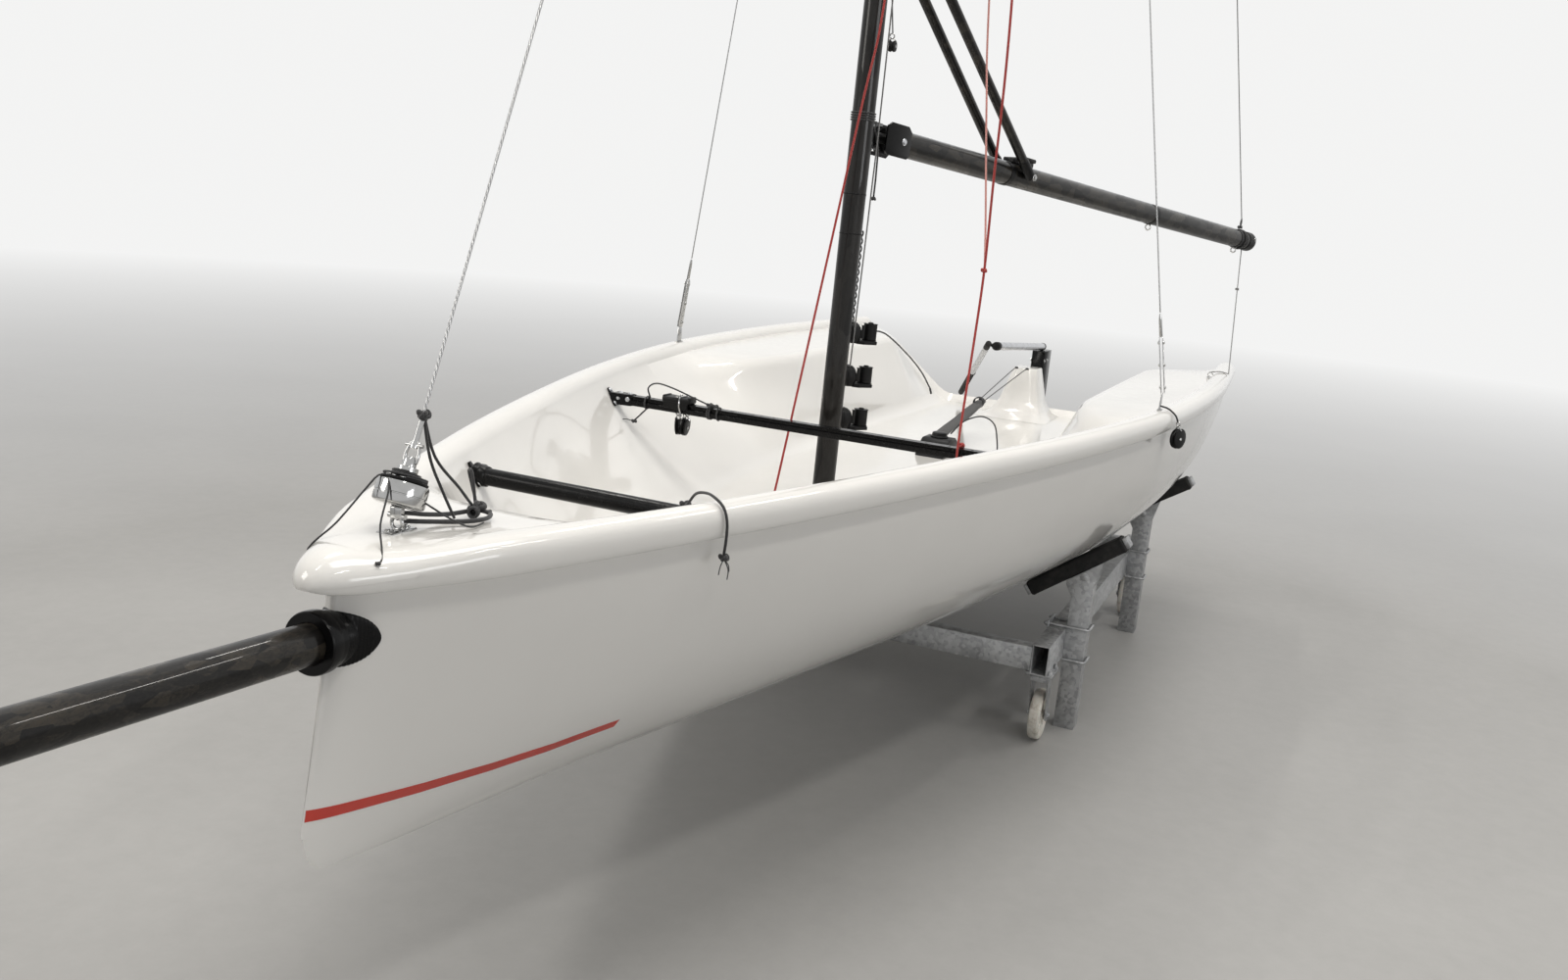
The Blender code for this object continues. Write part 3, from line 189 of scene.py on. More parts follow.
class Shade:
    """A procedural material built round one Principled shader."""

    def __init__(self, name, colour, roughness, metallic=0.0, **sockets):
        self.made = bpy.data.materials.new(name)
        self.made.use_nodes = True
        self.tree = self.made.node_tree
        self.shader = self.tree.nodes["Principled BSDF"]
        self.shader.inputs["Base Color"].default_value = (*colour, 1.0)
        self.shader.inputs["Roughness"].default_value = roughness
        self.shader.inputs["Metallic"].default_value = metallic
        for key, value in sockets.items():
            self.shader.inputs[key.replace("_", " ")].default_value = value
        self.made.diffuse_color = (*colour, 1.0)
        coordinates = self.tree.nodes.new("ShaderNodeTexCoord")
        self.where = coordinates.outputs["Object"]
        self.wrap = coordinates.outputs["UV"]

    def node(self, kind, inputs=None, **settings):
        made = self.tree.nodes.new(kind)
        for key, value in settings.items():
            setattr(made, key, value)
        for key, value in (inputs or {}).items():
            if isinstance(value, bpy.types.NodeSocket):
                self.tree.links.new(value, made.inputs[key])
            else:
                made.inputs[key].default_value = value
        return made

    def stretch(self, scale, source=None):
        return self.node("ShaderNodeMapping", {"Vector": source or self.where,
                                               "Scale": scale}).outputs[0]

    def noise(self, scale, detail=3.0, rough=0.5, source=None, distortion=0.0):
        return self.node("ShaderNodeTexNoise", {
            "Vector": source or self.where, "Scale": scale, "Detail": detail, "Roughness": rough,
            "Distortion": distortion}).outputs["Fac"]

    def cells(self, scale, source=None):
        """One random value for each cell."""
        made = self.node("ShaderNodeTexVoronoi", {"Vector": source or self.where, "Scale": scale})
        return self.node("ShaderNodeSeparateColor", {0: made.outputs["Color"]}).outputs[0]

    def wave(self, scale, source, direction):
        return self.node("ShaderNodeTexWave", {"Vector": source, "Scale": scale},
                         bands_direction=direction).outputs["Fac"]

    def ramp(self, source, *stops):
        made = self.node("ShaderNodeValToRGB", {"Fac": source})
        while len(made.color_ramp.elements) < len(stops):
            made.color_ramp.elements.new(0.5)
        for element, (position, colour) in zip(made.color_ramp.elements, stops):
            element.position = position
            element.color = (*colour, 1.0)
        return made.outputs["Color"]

    def span(self, source, low, high, start=0.0, end=1.0):
        """A factor carried to the range from start to end."""
        return self.node("ShaderNodeMapRange", {"Value": source, "From Min": low, "From Max": high,
                                                "To Min": start, "To Max": end}).outputs[0]

    def maths(self, operation, a, b):
        return self.node("ShaderNodeMath", {0: a, 1: b}, operation=operation).outputs[0]

    def blend(self, share, a, b):
        made = self.node("ShaderNodeMix", {"Factor": share}, data_type="RGBA")
        for socket, value in ((made.inputs[6], a), (made.inputs[7], b)):
            if isinstance(value, bpy.types.NodeSocket):
                self.tree.links.new(value, socket)
            else:
                socket.default_value = (*value, 1.0)
        return made.outputs[2]

    def set(self, **links):
        for key, value in links.items():
            self.tree.links.new(value, self.shader.inputs[key.replace("_", " ")])
        return self

    def bump(self, height, strength, distance):
        made = self.node("ShaderNodeBump", {"Height": height, "Strength": strength,
                                            "Distance": distance})
        self.tree.links.new(made.outputs[0], self.shader.inputs["Normal"])
        return self


def make_gelcoat(name, colour, shade):
    """Polished gelcoat with slow changes of tone, faint waviness and a little dust."""
    made = Shade(name, colour, 0.13, Coat_Weight=0.45, Coat_Roughness=0.02,
                 Specular_IOR_Level=0.35)
    tone = made.noise(2.2, 4.0, 0.55)
    made.set(Base_Color=made.ramp(tone, (0.30, shade), (0.70, colour)))
    dust = made.noise(38.0, 6.0, 0.7)
    made.set(Roughness=made.span(dust, 0.35, 0.80, 0.09, 0.20))
    height = made.maths("ADD", made.maths("MULTIPLY", made.noise(180.0, 2.0), 0.03),
                        made.noise(6.0, 2.0))
    return made.bump(height, 0.04, 0.004).made


def make_carbon(name, scale, along, tint):
    """Lacquered carbon tube: patches of fibre lying at different angles under a clear coat."""
    made = Shade(name, (0.006, 0.006, 0.006), 0.34, Coat_Weight=0.35, Coat_Roughness=0.02,
                 Specular_IOR_Level=0.10)
    stretched = made.stretch(along)
    patches = made.cells(scale, stretched)
    fibres = made.noise(scale * 2.6, 6.0, 0.65, stretched, 1.6)
    mixed = made.maths("ADD", made.maths("MULTIPLY", patches, 0.40),
                       made.maths("MULTIPLY", fibres, 0.60))
    made.set(Base_Color=made.ramp(mixed, (0.30, (0.0025, 0.0022, 0.0020)),
                                  (0.52, (0.010, 0.009, 0.008)), (0.78, tint)))
    made.set(Roughness=made.span(mixed, 0.2, 0.8, 0.46, 0.24))
    return made.bump(fibres, 0.12, 0.0006).made


def make_plastic(name, tone, roughness, grain=900.0):
    """Moulded black plastic with a fine grain and scuffs."""
    made = Shade(name, (tone, tone, tone), roughness, Specular_IOR_Level=0.15)
    scuff = made.noise(45.0, 6.0, 0.75)
    made.set(Base_Color=made.ramp(scuff, (0.50, (tone, tone, tone * 1.03)),
                                  (0.90, (tone * 2.0, tone * 2.0, tone * 2.1))))
    made.set(Roughness=made.span(scuff, 0.3, 0.8, roughness - 0.06, roughness + 0.12))
    return made.bump(made.noise(grain, 2.0), 0.12, 0.0004).made


def make_metal(name, colour, roughness, brushed, spread=0.08):
    """Metal with fine lines along one axis and faint smears."""
    made = Shade(name, colour, roughness, 1.0)
    lines = made.noise(60.0, 3.0, 0.6, made.stretch(brushed))
    smears = made.noise(22.0, 4.0, 0.6)
    made.set(Roughness=made.span(made.maths("ADD", lines, smears), 0.7, 1.3,
                                 max(roughness - spread, 0.05), roughness + spread))
    dark = tuple(0.86 * value for value in colour)
    made.set(Base_Color=made.ramp(smears, (0.35, dark), (0.65, colour)))
    return made.bump(lines, 0.06, 0.0004).made


def make_galvanised():
    """Dull zinc: crystals of two sizes, runs and pale bloom."""
    made = Shade("galvanised", (0.42, 0.43, 0.44), 0.55, 0.85)
    crystals = made.cells(95.0)
    bloom = made.noise(9.0, 6.0, 0.65)
    mixed = made.maths("ADD", made.maths("MULTIPLY", crystals, 0.35),
                       made.maths("MULTIPLY", bloom, 0.65))
    made.set(Base_Color=made.ramp(mixed, (0.22, (0.24, 0.245, 0.25)), (0.50, (0.38, 0.385, 0.39)),
                                  (0.78, (0.52, 0.525, 0.53))))
    made.set(Roughness=made.span(mixed, 0.2, 0.8, 0.40, 0.66))
    return made.bump(made.noise(120.0, 4.0), 0.16, 0.0008).made


def make_rubber():
    """Matt black rubber, greyed by dust and rubbed places."""
    made = Shade("rubber", (0.010, 0.010, 0.010), 0.72, Specular_IOR_Level=0.3)
    dust = made.noise(26.0, 7.0, 0.7)
    made.set(Base_Color=made.ramp(dust, (0.46, (0.006, 0.006, 0.006)),
                                  (0.80, (0.040, 0.038, 0.035))))
    made.set(Roughness=made.span(dust, 0.3, 0.8, 0.58, 0.90))
    return made.bump(made.noise(420.0, 3.0), 0.35, 0.0007).made


def make_nylon():
    """Off-white nylon, worn and dirty where it has rolled."""
    made = Shade("worn_nylon", (0.74, 0.72, 0.66), 0.48, Subsurface_Weight=0.04)
    dirt = made.noise(34.0, 7.0, 0.72)
    made.set(Base_Color=made.ramp(dirt, (0.30, (0.36, 0.32, 0.26)), (0.46, (0.66, 0.63, 0.56)),
                                  (0.70, (0.80, 0.78, 0.73))))
    made.set(Roughness=made.span(dirt, 0.3, 0.7, 0.62, 0.38))
    return made.bump(made.noise(150.0, 5.0), 0.25, 0.0008).made


def make_rope(name, colour, fleck, pitch, roughness=0.75):
    """Braided rope: two sets of strands crossing round the tube, darker in the valleys between them
    as painted shade.
    """
    made = Shade(name, colour, roughness, Sheen_Weight=0.25, Sheen_Roughness=0.5)
    left, right = (made.wave(1.0, made.stretch((strands, 1.0 / pitch, 1.0), made.wrap), "DIAGONAL")
                   for strands in (3.0, -3.0))
    weave = made.maths("MAXIMUM", left, right)
    spots = made.maths("MULTIPLY", left, made.noise(400.0, 2.0))
    # The weave ramp darkens the valleys between the strands: painted shade.
    dark = tuple(0.55 * value for value in colour)
    base = made.ramp(weave, (0.15, dark), (0.8, colour))
    made.set(Base_Color=made.blend(made.span(spots, 0.35, 0.6), base, fleck))
    return made.bump(weave, 0.6, 0.0009).made


def make_wire():
    """Stranded steel wire, darker in the grooves between the strands as painted shade."""
    made = Shade("steel_wire", (0.50, 0.50, 0.50), 0.34, 1.0)
    lay = made.wave(1.0, made.stretch((4.0, 60.0, 1.0), made.wrap), "DIAGONAL")
    # The lay ramp darkens the grooves between the strands: painted shade.
    made.set(Base_Color=made.ramp(lay, (0.2, (0.16, 0.16, 0.16)), (0.8, (0.60, 0.60, 0.60))))
    return made.bump(lay, 0.5, 0.0006).made


def make_webbing():
    """Flat woven webbing, darker in the hollows of the weave as painted shade."""
    made = Shade("webbing", (0.018, 0.018, 0.019), 0.82, Sheen_Weight=0.3)
    across = made.wave(55.0, made.where, "X")
    over = made.wave(75.0, made.where, "Y")
    weave = made.maths("MULTIPLY", across, over)
    # The weave ramp darkens the hollows between the yarns: painted shade.
    made.set(Base_Color=made.ramp(weave, (0.1, (0.008, 0.008, 0.008)),
                                  (0.7, (0.045, 0.045, 0.047))))
    return made.bump(weave, 0.8, 0.0009).made


def make_film(name, colour):
    """Coloured gloss film on the hull."""
    made = Shade(name, colour, 0.26, Coat_Weight=0.3, Coat_Roughness=0.08)
    tone = made.noise(16.0, 4.0)
    dark = tuple(0.88 * value for value in colour)
    made.set(Base_Color=made.ramp(tone, (0.3, dark), (0.7, colour)))
    return made.bump(made.noise(300.0, 2.0), 0.03, 0.0005).made


WHITE = make_gelcoat("gelcoat", (0.76, 0.75, 0.725), (0.73, 0.72, 0.695))
CARBON_SPRIT = make_carbon("carbon_sprit", 62.0, (0.45, 1.0, 1.0), (0.042, 0.035, 0.026))
CARBON_MAST = make_carbon("carbon_mast", 40.0, (1.0, 1.0, 0.22), (0.020, 0.019, 0.018))
CARBON_BOOM = make_carbon("carbon_boom", 46.0, (0.30, 1.0, 1.0), (0.036, 0.031, 0.024))
PLASTIC = make_plastic("black_moulding", 0.007, 0.38)
SATIN = make_plastic("black_satin", 0.004, 0.18, 1500.0)
STEEL = make_metal("polished_steel", (0.46, 0.46, 0.455), 0.13, (1.0, 1.0, 14.0), 0.05)
ALLOY = make_metal("anodised_alloy", (0.60, 0.61, 0.63), 0.30, (1.0, 12.0, 12.0))
GALVANISED = make_galvanised()
RUBBER = make_rubber()
NYLON = make_nylon()
BLACK_ROPE = make_rope("black_rope", (0.014, 0.014, 0.015), (0.045, 0.045, 0.048), 0.006)
RED_ROPE = make_rope("red_rope", (0.38, 0.015, 0.013), (0.50, 0.10, 0.08), 0.005)
PINK_ROPE = make_rope("pink_rope", (0.62, 0.23, 0.20), (0.74, 0.52, 0.46), 0.006)
GREY_ROPE = make_rope("grey_rope", (0.20, 0.20, 0.20), (0.42, 0.42, 0.42), 0.004)
WIRE = make_wire()
WEBBING = make_webbing()
RED_FILM = make_film("red_film", (0.54, 0.032, 0.016))


# Shapes

def smoothed(data, angle):
    data.shade_smooth()
    data.set_sharp_from_angle(angle=math.radians(angle))
    return data


def settle(item, shades, body, replaces=()):
    """Give a piece its materials and body, and hide the CAD nodes that it stands for."""
    for shade in shades:
        item.data.materials.append(shade)
    if body:
        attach(item, body)
    if replaces:
        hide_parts(*replaces)
    return item


def apply_modifiers(item):
    bpy.context.view_layer.update()
    result = item.evaluated_get(bpy.context.evaluated_depsgraph_get())
    item.data = bpy.data.meshes.new_from_object(result)
    item.modifiers.clear()


class Build:
    """Gathers shapes, in metres in the row frame, into one piece."""

    def __init__(self):
        self.mesh = bmesh.new()
        self.uv = self.mesh.loops.layers.uv.new("UVMap")
        self.shade = 0

    def rings(self, rings, closed=False, caps=True):
        """A skin through rings of equal numbers of points."""
        made = [[self.mesh.verts.new(point) for point in ring] for ring in rings]
        middles = [sum((Vector(p) for p in ring), Vector()) / len(ring) for ring in rings]
        count, along = len(made[0]), 0.0
        for s in range(len(made) if closed else len(made) - 1):
            a, b = made[s], made[(s + 1) % len(made)]
            step = (middles[(s + 1) % len(made)] - middles[s]).length
            for k in range(count):
                n = (k + 1) % count
                face = self.mesh.faces.new((a[k], a[n], b[n], b[k]))
                face.material_index = self.shade
                corners = ((k, along), (k + 1, along), (k + 1, along + step), (k, along + step))
                for loop, (u, v) in zip(face.loops, corners):
                    loop[self.uv].uv = (u / count, v)
            along += step
        if caps and not closed:
            for ring in (list(reversed(made[0])), made[-1]):
                self.mesh.faces.new(ring).material_index = self.shade
        return self

    def tube(self, path, radius, sides=12, closed=False, dome=True):
        points = [Vector(point) for point in path]
        count = len(points)
        radii = list(radius) if isinstance(radius, (list, tuple)) else [radius] * count
        rings, side = [], None
        for i, point in enumerate(points):
            before = points[i - 1] if i or closed else point
            after = points[(i + 1) % count] if i < count - 1 or closed else point
            along = (after - before).normalized()
            side = along.orthogonal() if side is None else side - side.dot(along) * along
            side.normalize()
            up = along.cross(side)
            ends = [(0.0, 1.0)]
            if dome and not closed and i == 0:
                ends = [(-0.85, 0.45), (-0.5, 0.85), (0.0, 1.0)]
            if dome and not closed and i == count - 1:
                ends = [(0.0, 1.0), (0.5, 0.85), (0.85, 0.45)]
            for push, share in ends:
                middle = point + push * radii[i] * along
                rings.append([middle + share * radii[i] * (math.cos(t) * side + math.sin(t) * up)
                              for t in angles(sides)])
        return self.rings(rings, closed)

    def line(self, points, spacing, radius, sides=9, at=place):
        """A tube along a smooth curve, where at turns each row of numbers into a point."""
        points = [at(*point) if isinstance(point, tuple) else point for point in points]
        return self.tube(curve_points(points, spacing), radius, sides)

    def lathe(self, profile, start, direction, sides=32):
        along = Vector(direction).normalized()
        side = along.orthogonal().normalized()
        up = along.cross(side)
        return self.rings([[Vector(start) + float(distance) * along
                            + max(float(radius), 0.0004) * (math.cos(t) * side + math.sin(t) * up)
                            for t in angles(sides)]
                           for distance, radius in profile])

    def take(self, work):
        for face in work.faces:
            face.material_index = self.shade
        data = bpy.data.meshes.new("shape")
        work.to_mesh(data)
        work.free()
        self.mesh.from_mesh(data)
        bpy.data.meshes.remove(data)
        return self

    def block(self, size, centre, turn=None, bevel=0.0015, steps=2):
        work = bmesh.new()
        bmesh.ops.create_cube(work, size=1.0)
        frame_turn = turn.to_4x4() if turn is not None else Matrix.Identity(4)
        bmesh.ops.transform(work, verts=work.verts, matrix=Matrix.Diagonal((*size, 1.0)))
        if bevel:
            bmesh.ops.bevel(work, geom=list(work.edges), offset=bevel, segments=steps,
                            affect="EDGES", profile=0.5)
        bmesh.ops.transform(work, verts=work.verts,
                            matrix=Matrix.Translation(Vector(centre)) @ frame_turn)
        return self.take(work)

    def plate(self, outline, thickness, turn, bevel=0.0008):
        """A flat piece: the outline in x and y of the given frame, thick equally to both sides."""
        work = bmesh.new()
        low = [work.verts.new((x, y, -0.5 * thickness)) for x, y in outline]
        high = [work.verts.new((x, y, 0.5 * thickness)) for x, y in outline]
        work.faces.new(list(reversed(low)))
        work.faces.new(high)
        for k in range(len(outline)):
            n = (k + 1) % len(outline)
            work.faces.new((low[k], low[n], high[n], high[k]))
        if bevel:
            rims = [edge for edge in work.edges if edge.verts[0].co.z * edge.verts[1].co.z > 0]
            bmesh.ops.bevel(work, geom=rims, offset=bevel, segments=2, affect="EDGES", profile=0.5)
        bmesh.ops.transform(work, verts=work.verts, matrix=turn)
        return self.take(work)

    def hoop(self, centre, normal, major, minor, sides=10, turns=28, start=0.0):
        """A ring."""
        normal = Vector(normal).normalized()
        side = normal.orthogonal().normalized()
        up = normal.cross(side)
        path = [Vector(centre) + major * (math.cos(start + t) * side + math.sin(start + t) * up)
                for t in angles(turns)]
        return self.tube(path, minor, sides, True)

    def bolt(self, foot, axis, radius=0.006, head=0.005, sides=6):
        """A washer with a hexagon head, or a domed head where sides is large."""
        self.lathe(((0.0, 1.5 * radius), (0.0010, 1.5 * radius), (0.0015, 1.4 * radius)), foot,
                   axis, 20)
        start = Vector(foot) + 0.0014 * Vector(axis).normalized()
        return self.lathe(((0.0, radius), (head * 0.85, radius), (head, radius * 0.82)), start,
                          axis, sides)

    def stud(self, foot, axis, radius, reach):
        """A nut on a threaded end."""
        self.bolt(foot, axis, radius * 1.75, radius * 1.6)
        steps = max(int(reach / (0.5 * radius)), 4)
        profile = [(reach * k / steps, radius * (1.0 if k % 2 else 0.88)) for k in range(steps + 1)]
        return self.lathe(profile, foot, axis, 12)

    def knot(self, centre, size, radius, turn=None, sides=9):
        """An overhand knot pulled up small."""
        turn = turn or Matrix.Identity(3)
        path = []
        for t in angles(48):
            local = Vector((math.sin(t) + 2 * math.sin(2 * t), math.cos(t) - 2 * math.cos(2 * t),
                            -1.3 * math.sin(3 * t)))
            path.append(Vector(centre) + size / 3.0 * (turn @ local))
        return self.tube(path, radius, sides, True)

    def plain(self, name):
        """Turn the shapes into an object without materials or a body."""
        bmesh.ops.recalc_face_normals(self.mesh, faces=self.mesh.faces)
        data = bpy.data.meshes.new(name)
        self.mesh.to_mesh(data)
        self.mesh.free()
        return put(name, data)

    def done(self, name, shades, body, replaces=(), angle=38, cut=()):
        """Turn the shapes into a piece, less the shapes of each cutter."""
        item = self.plain(name)
        if cut:
            tools = [cutter.plain(f"{name}_cutter_{k}") for k, cutter in enumerate(cut)]
            for tool in tools:
                step = item.modifiers.new("cut", "BOOLEAN")
                step.object = tool
                step.solver = "EXACT"
            apply_modifiers(item)
            item.data.name = name
            for tool in tools:
                bpy.data.objects.remove(tool, do_unlink=True)
        smoothed(item.data, angle)
        return settle(item, shades, body, replaces)


def dress(node, shade, bevel=0.0012, angle=38):
    """A CAD node's own shape with its edges rounded and a full material, in place of the node."""
    source = frame["nodes"][node]
    data = source.data.copy()
    data.transform(source.matrix_world)
    data.materials.clear()
    work = bmesh.new()
    work.from_mesh(data)
    bmesh.ops.remove_doubles(work, verts=work.verts, dist=0.00002)
    bmesh.ops.dissolve_limit(work, angle_limit=math.radians(1.0), verts=work.verts,
                             edges=work.edges)
    work.to_mesh(data)
    work.free()
    item = put(node + "_dressed", data)
    if bevel:
        step = item.modifiers.new("edges", "BEVEL")
        step.width = bevel
        step.segments = 2
        step.limit_method = "ANGLE"
        step.angle_limit = math.radians(32.0)
        apply_modifiers(item)
    item.data.name = node + "_dressed"
    smoothed(item.data, angle)
    return settle(item, [shade], BODY_OF[node], [node])


def curve_points(points, spacing):
    """Points of a smooth curve through the given ones."""
    points = [Vector(point) for point in points]
    if len(points) == 2:
        count = max(int((points[1] - points[0]).length / spacing), 1)
        return [points[0].lerp(points[1], k / count) for k in range(count + 1)]
    padded = [2 * points[0] - points[1]] + points + [2 * points[-1] - points[-2]]
    made = [points[0]]
    for k in range(1, len(padded) - 2):
        a, b, c, d = padded[k - 1:k + 3]
        count = max(int((c - b).length / spacing), 2)
        for s in range(1, count + 1):
            t = s / count
            made.append(0.5 * (2 * b + t * (c - a) + t * t * (2 * a - 5 * b + 4 * c - d)
                               + t**3 * (3 * b - a - 3 * c + d)))
    return made


def rope(name, points, diameter, shade, at=place):
    """A line on the boat that is a piece of its own."""
    Build().line(points, 0.02, 0.5 * diameter, 10, at).done(name, [shade], "boat")


# Hull and deck, from the same sections as the CAD but finer

def cubic(x, xs, ys, rate):
    """A curve through the points, with its slope at each from rate."""
    k = int(np.clip(np.searchsorted(xs, x) - 1, 0, len(xs) - 2))
    span = xs[k + 1] - xs[k]
    t = (x - xs[k]) / span
    return ((2 * t**3 - 3 * t**2 + 1) * ys[k] + (t**3 - 2 * t**2 + t) * span * rate(k)
            + (3 * t**2 - 2 * t**3) * ys[k + 1] + (t**3 - t**2) * span * rate(k + 1))


def smooth_value(x, table, column):
    """A curve through one column of a table."""
    xs, ys = [row[0] for row in table], [row[column] for row in table]

    def rate(i):
        low, high = max(i - 1, 0), min(i + 1, len(xs) - 1)
        return (ys[high] - ys[low]) / (xs[high] - xs[low])

    return cubic(x, xs, ys, rate)


def fair_value(x, table, column):
    """A curve through one column that never swings past its neighbours."""
    xs, ys = [row[0] for row in table], [row[column] for row in table]

    def rate(i):
        if i <= 0 or i >= len(xs) - 1:
            return 0.0
        before = (ys[i] - ys[i - 1]) / (xs[i] - xs[i - 1])
        after = (ys[i + 1] - ys[i]) / (xs[i + 1] - xs[i])
        return 0.0 if before * after <= 0 else 2 * before * after / (before + after)

    return cubic(x, xs, ys, rate)


def bend(start, corner, end, steps):
    made = []
    for k in range(1, steps + 1):
        t = k / steps
        made.append(tuple((1 - t)**2 * a + 2 * t * (1 - t) * c + t * t * b
                          for a, c, b in zip(start, corner, end)))
    return made


def fillet(before, corner, after, radius):
    ends = []
    for other in (before, after):
        away = Vector(other) - Vector(corner)
        ends.append(tuple(Vector(corner) + away.normalized() * min(radius, 0.45 * away.length)))
    return [ends[0]] + bend(ends[0], corner, ends[1], FILLET_STEPS)


def outer_half(x):
    keel, breadth, seam, full = (smooth_value(x, HULL_STATIONS, c) for c in (1, 2, 3, 4))
    breadth = max(breadth, 0.006)
    half = []
    for k in range(OUTER_STEPS):
        angle = 0.5 * math.pi * k / (OUTER_STEPS - 1)
        half.append((breadth * math.sin(angle) ** (2.0 / full),
                     seam - (seam - keel) * max(math.cos(angle), 0.0) ** (2.0 / full)))
    return half


def nose_half(x):
    return NOSE_BLUFFNESS * math.sqrt(max(NOSE_X - x, 0.0))


def lip_sizes(x):
    if x < HULL_STATIONS[9][0]:
        corner = max(1.0 - x / INNER_STATIONS[1][0], 0.0)
        return smooth_value(x, HULL_STATIONS, 2), LIP_OVERHANG * (1.0 - 0.55 * corner**2)
    overhang = min(LIP_OVERHANG, 0.5 * nose_half(x))
    return nose_half(x) - overhang, overhang


def inner_half(x):
    floor_y, floor_z, tank_y, tank_z, deck_z, edge = (fair_value(x, INNER_STATIONS, c)
                                                      for c in range(1, 7))
    breadth = lip_sizes(x)[0]
    foot_y = breadth - min(LIP_WIDTH - LIP_OVERHANG, 0.4 * breadth)
    floor_y = min(floor_y, 0.5 * foot_y)
    tank_y = min(tank_y, foot_y - 0.25 * (foot_y - floor_y))
    middle, low, high, foot = (0.0, floor_z), (floor_y, floor_z), (tank_y, tank_z), (foot_y, deck_z)
    return ([middle, (0.5 * floor_y, floor_z)] + fillet(middle, low, high, FLOOR_RADIUS)
            + fillet(low, high, foot, edge) + [foot])


def offset_half(half, distance):
    moved = []
    for k, (y, z) in enumerate(half):
        before = half[max(k - 1, 0)]
        after = half[min(k + 1, len(half) - 1)]
        ty, tz = after[0] - before[0], after[1] - before[1]
        size = max(math.hypot(ty, tz), 1e-9)
        moved.append((0.0 if k == 0 else y + distance * tz / size, z - distance * ty / size))
    return moved


def lip_half(x):
    breadth, overhang = lip_sizes(x)
    seam = smooth_value(min(x, STEM_X), HULL_STATIONS, 3)
    inner = min(LIP_WIDTH - LIP_OVERHANG, 0.4 * breadth)
    top, out = seam + LIP_HEIGHT, breadth + overhang
    foot = inner_half(x)[-1]
    crest = (breadth - 0.10 * inner, top)
    side = (out, seam + 0.45 * LIP_HEIGHT)
    low = (out - 0.4 * overhang, seam + 0.001)
    return (bend(foot, (breadth - 0.85 * inner, top), crest, LIP_STEPS)
            + bend(crest, (out, top), side, LIP_STEPS) + bend(side, (out, seam), low, LIP_STEPS - 1)
            + [(breadth, seam + GAP)])


def section_loop(half):
    return list(half) + [(-y, z) for y, z in reversed(half) if y > 1e-9]


def joint_half(x, lift):
    breadth, seam = outer_half(x)[-1] if x <= STEM_X else (lip_sizes(x)[0], SEAM_AT_BOW)
    breadth = min(breadth, lip_sizes(x)[0])
    edge = breadth - min(0.012, 0.3 * breadth)
    upper = inner_half(x)
    if upper[0][1] - DECK_THICKNESS > seam:
        return [(edge * k / (len(upper) - 1), seam + lift) for k in range(len(upper))]
    moved = offset_half(upper, DECK_THICKNESS + GAP - lift)
    return [(min(y, edge), min(z, seam + lift)) for y, z in moved[:-1]] + [(edge, seam + lift)]


def deck_half(x):
    """Half a section, crowned more and more towards the nose and drawn together at its tip."""
    half = inner_half(x) + lip_half(x) + list(reversed(joint_half(x, GAP)))
    low = SEAM_AT_BOW + 0.30 * LIP_HEIGHT
    crown = min(max((x - 4.02) / 0.24, 0.0), 1.0)
    if crown > 0.0:
        crown = crown * crown * (3.0 - 2.0 * crown)
        widest = max(y for y, z in half)
        crowned = []
        for y, z in half:
            dome = low + 0.70 * LIP_HEIGHT * math.sqrt(max(1.0 - (y / widest)**2, 0.0))
            crowned.append(((1.0 - 0.14 * crown) * y, z + crown * (dome - z) if z > low else z))
        half = crowned
    if x <= NOSE_START_X:
        return half
    share = (x - NOSE_START_X) / (NOSE_X - NOSE_START_X)
    tip = SEAM_AT_BOW + 0.20 * LIP_HEIGHT
    return [(y, tip + (z - tip) * math.sqrt(1.0 - share**2)) for y, z in half]


def raked(x, y, z):
    near = min(max((x - RAKE_START_X) / (STEM_X - RAKE_START_X), 0.0), 1.0)
    high = max((z - STEM_FOOT_HEIGHT) / (SEAM_AT_BOW - STEM_FOOT_HEIGHT), 0.0)
    return x - (STEM_X - STEM_TOP_X) * near**2 * high, y, z


def stations(marks, spacing):
    made = [marks[0]]
    for a, b in zip(marks, marks[1:]):
        count = max(math.ceil((b - a) / spacing), 1)
        made += [a + (b - a) * k / count for k in range(1, count + 1)]
    return made


def sprit_cutter(seat=False):
    """The bowsprit's tunnel, with a wider seat for the cuff's root where asked for."""
    radius = 0.0306
    profile = [(-0.75, radius), (0.20, radius)]
    if seat:
        profile[1:] = [(-0.1053, radius), (-0.1053, 0.0363), (-0.085, 0.0400), (0.20, 0.0400)]
    return Build().lathe(profile, SPRIT_ROOT, SPRIT_AXIS, 48)


def case_cutter():
    """The slot of the open board case."""
    low, high = place(1.72, -0.018, -0.05), place(2.08, 0.018, 0.36)
    return Build().block(high - low, 0.5 * (low + high), bevel=0)


def make_hull():
    marks = (0.0, 0.03, 0.40, 0.90, 1.60, 2.0, 2.45, 2.90, 3.37, 3.66, 3.80, 3.86, 4.10)
    fine = stations(marks, STATION_SPACING)
    fine += stations((4.10, 4.20, 4.24, 4.262, 4.276, STEM_X), NOSE_SPACING)[1:]
    rings = []
    for x in fine:
        half = outer_half(x) + list(reversed(joint_half(x, 0.0)))
        rings.append([place(*raked(x, y, z)) for y, z in section_loop(half)])
    last = section_loop(outer_half(STEM_X) + list(reversed(joint_half(STEM_X, 0.0))))
    for ahead, share in ((0.0016, 0.86), (0.0028, 0.62), (0.0035, 0.30)):
        rings.append([place(*raked(STEM_X, y, z)) + Vector((ahead, 0, 0)) for y, z in
                      ((y * share, z) for y, z in last)])
    Build().rings(rings).done("hull_shell", [WHITE], "boat", ["hull"], 32,
                              cut=[sprit_cutter(True), case_cutter()])


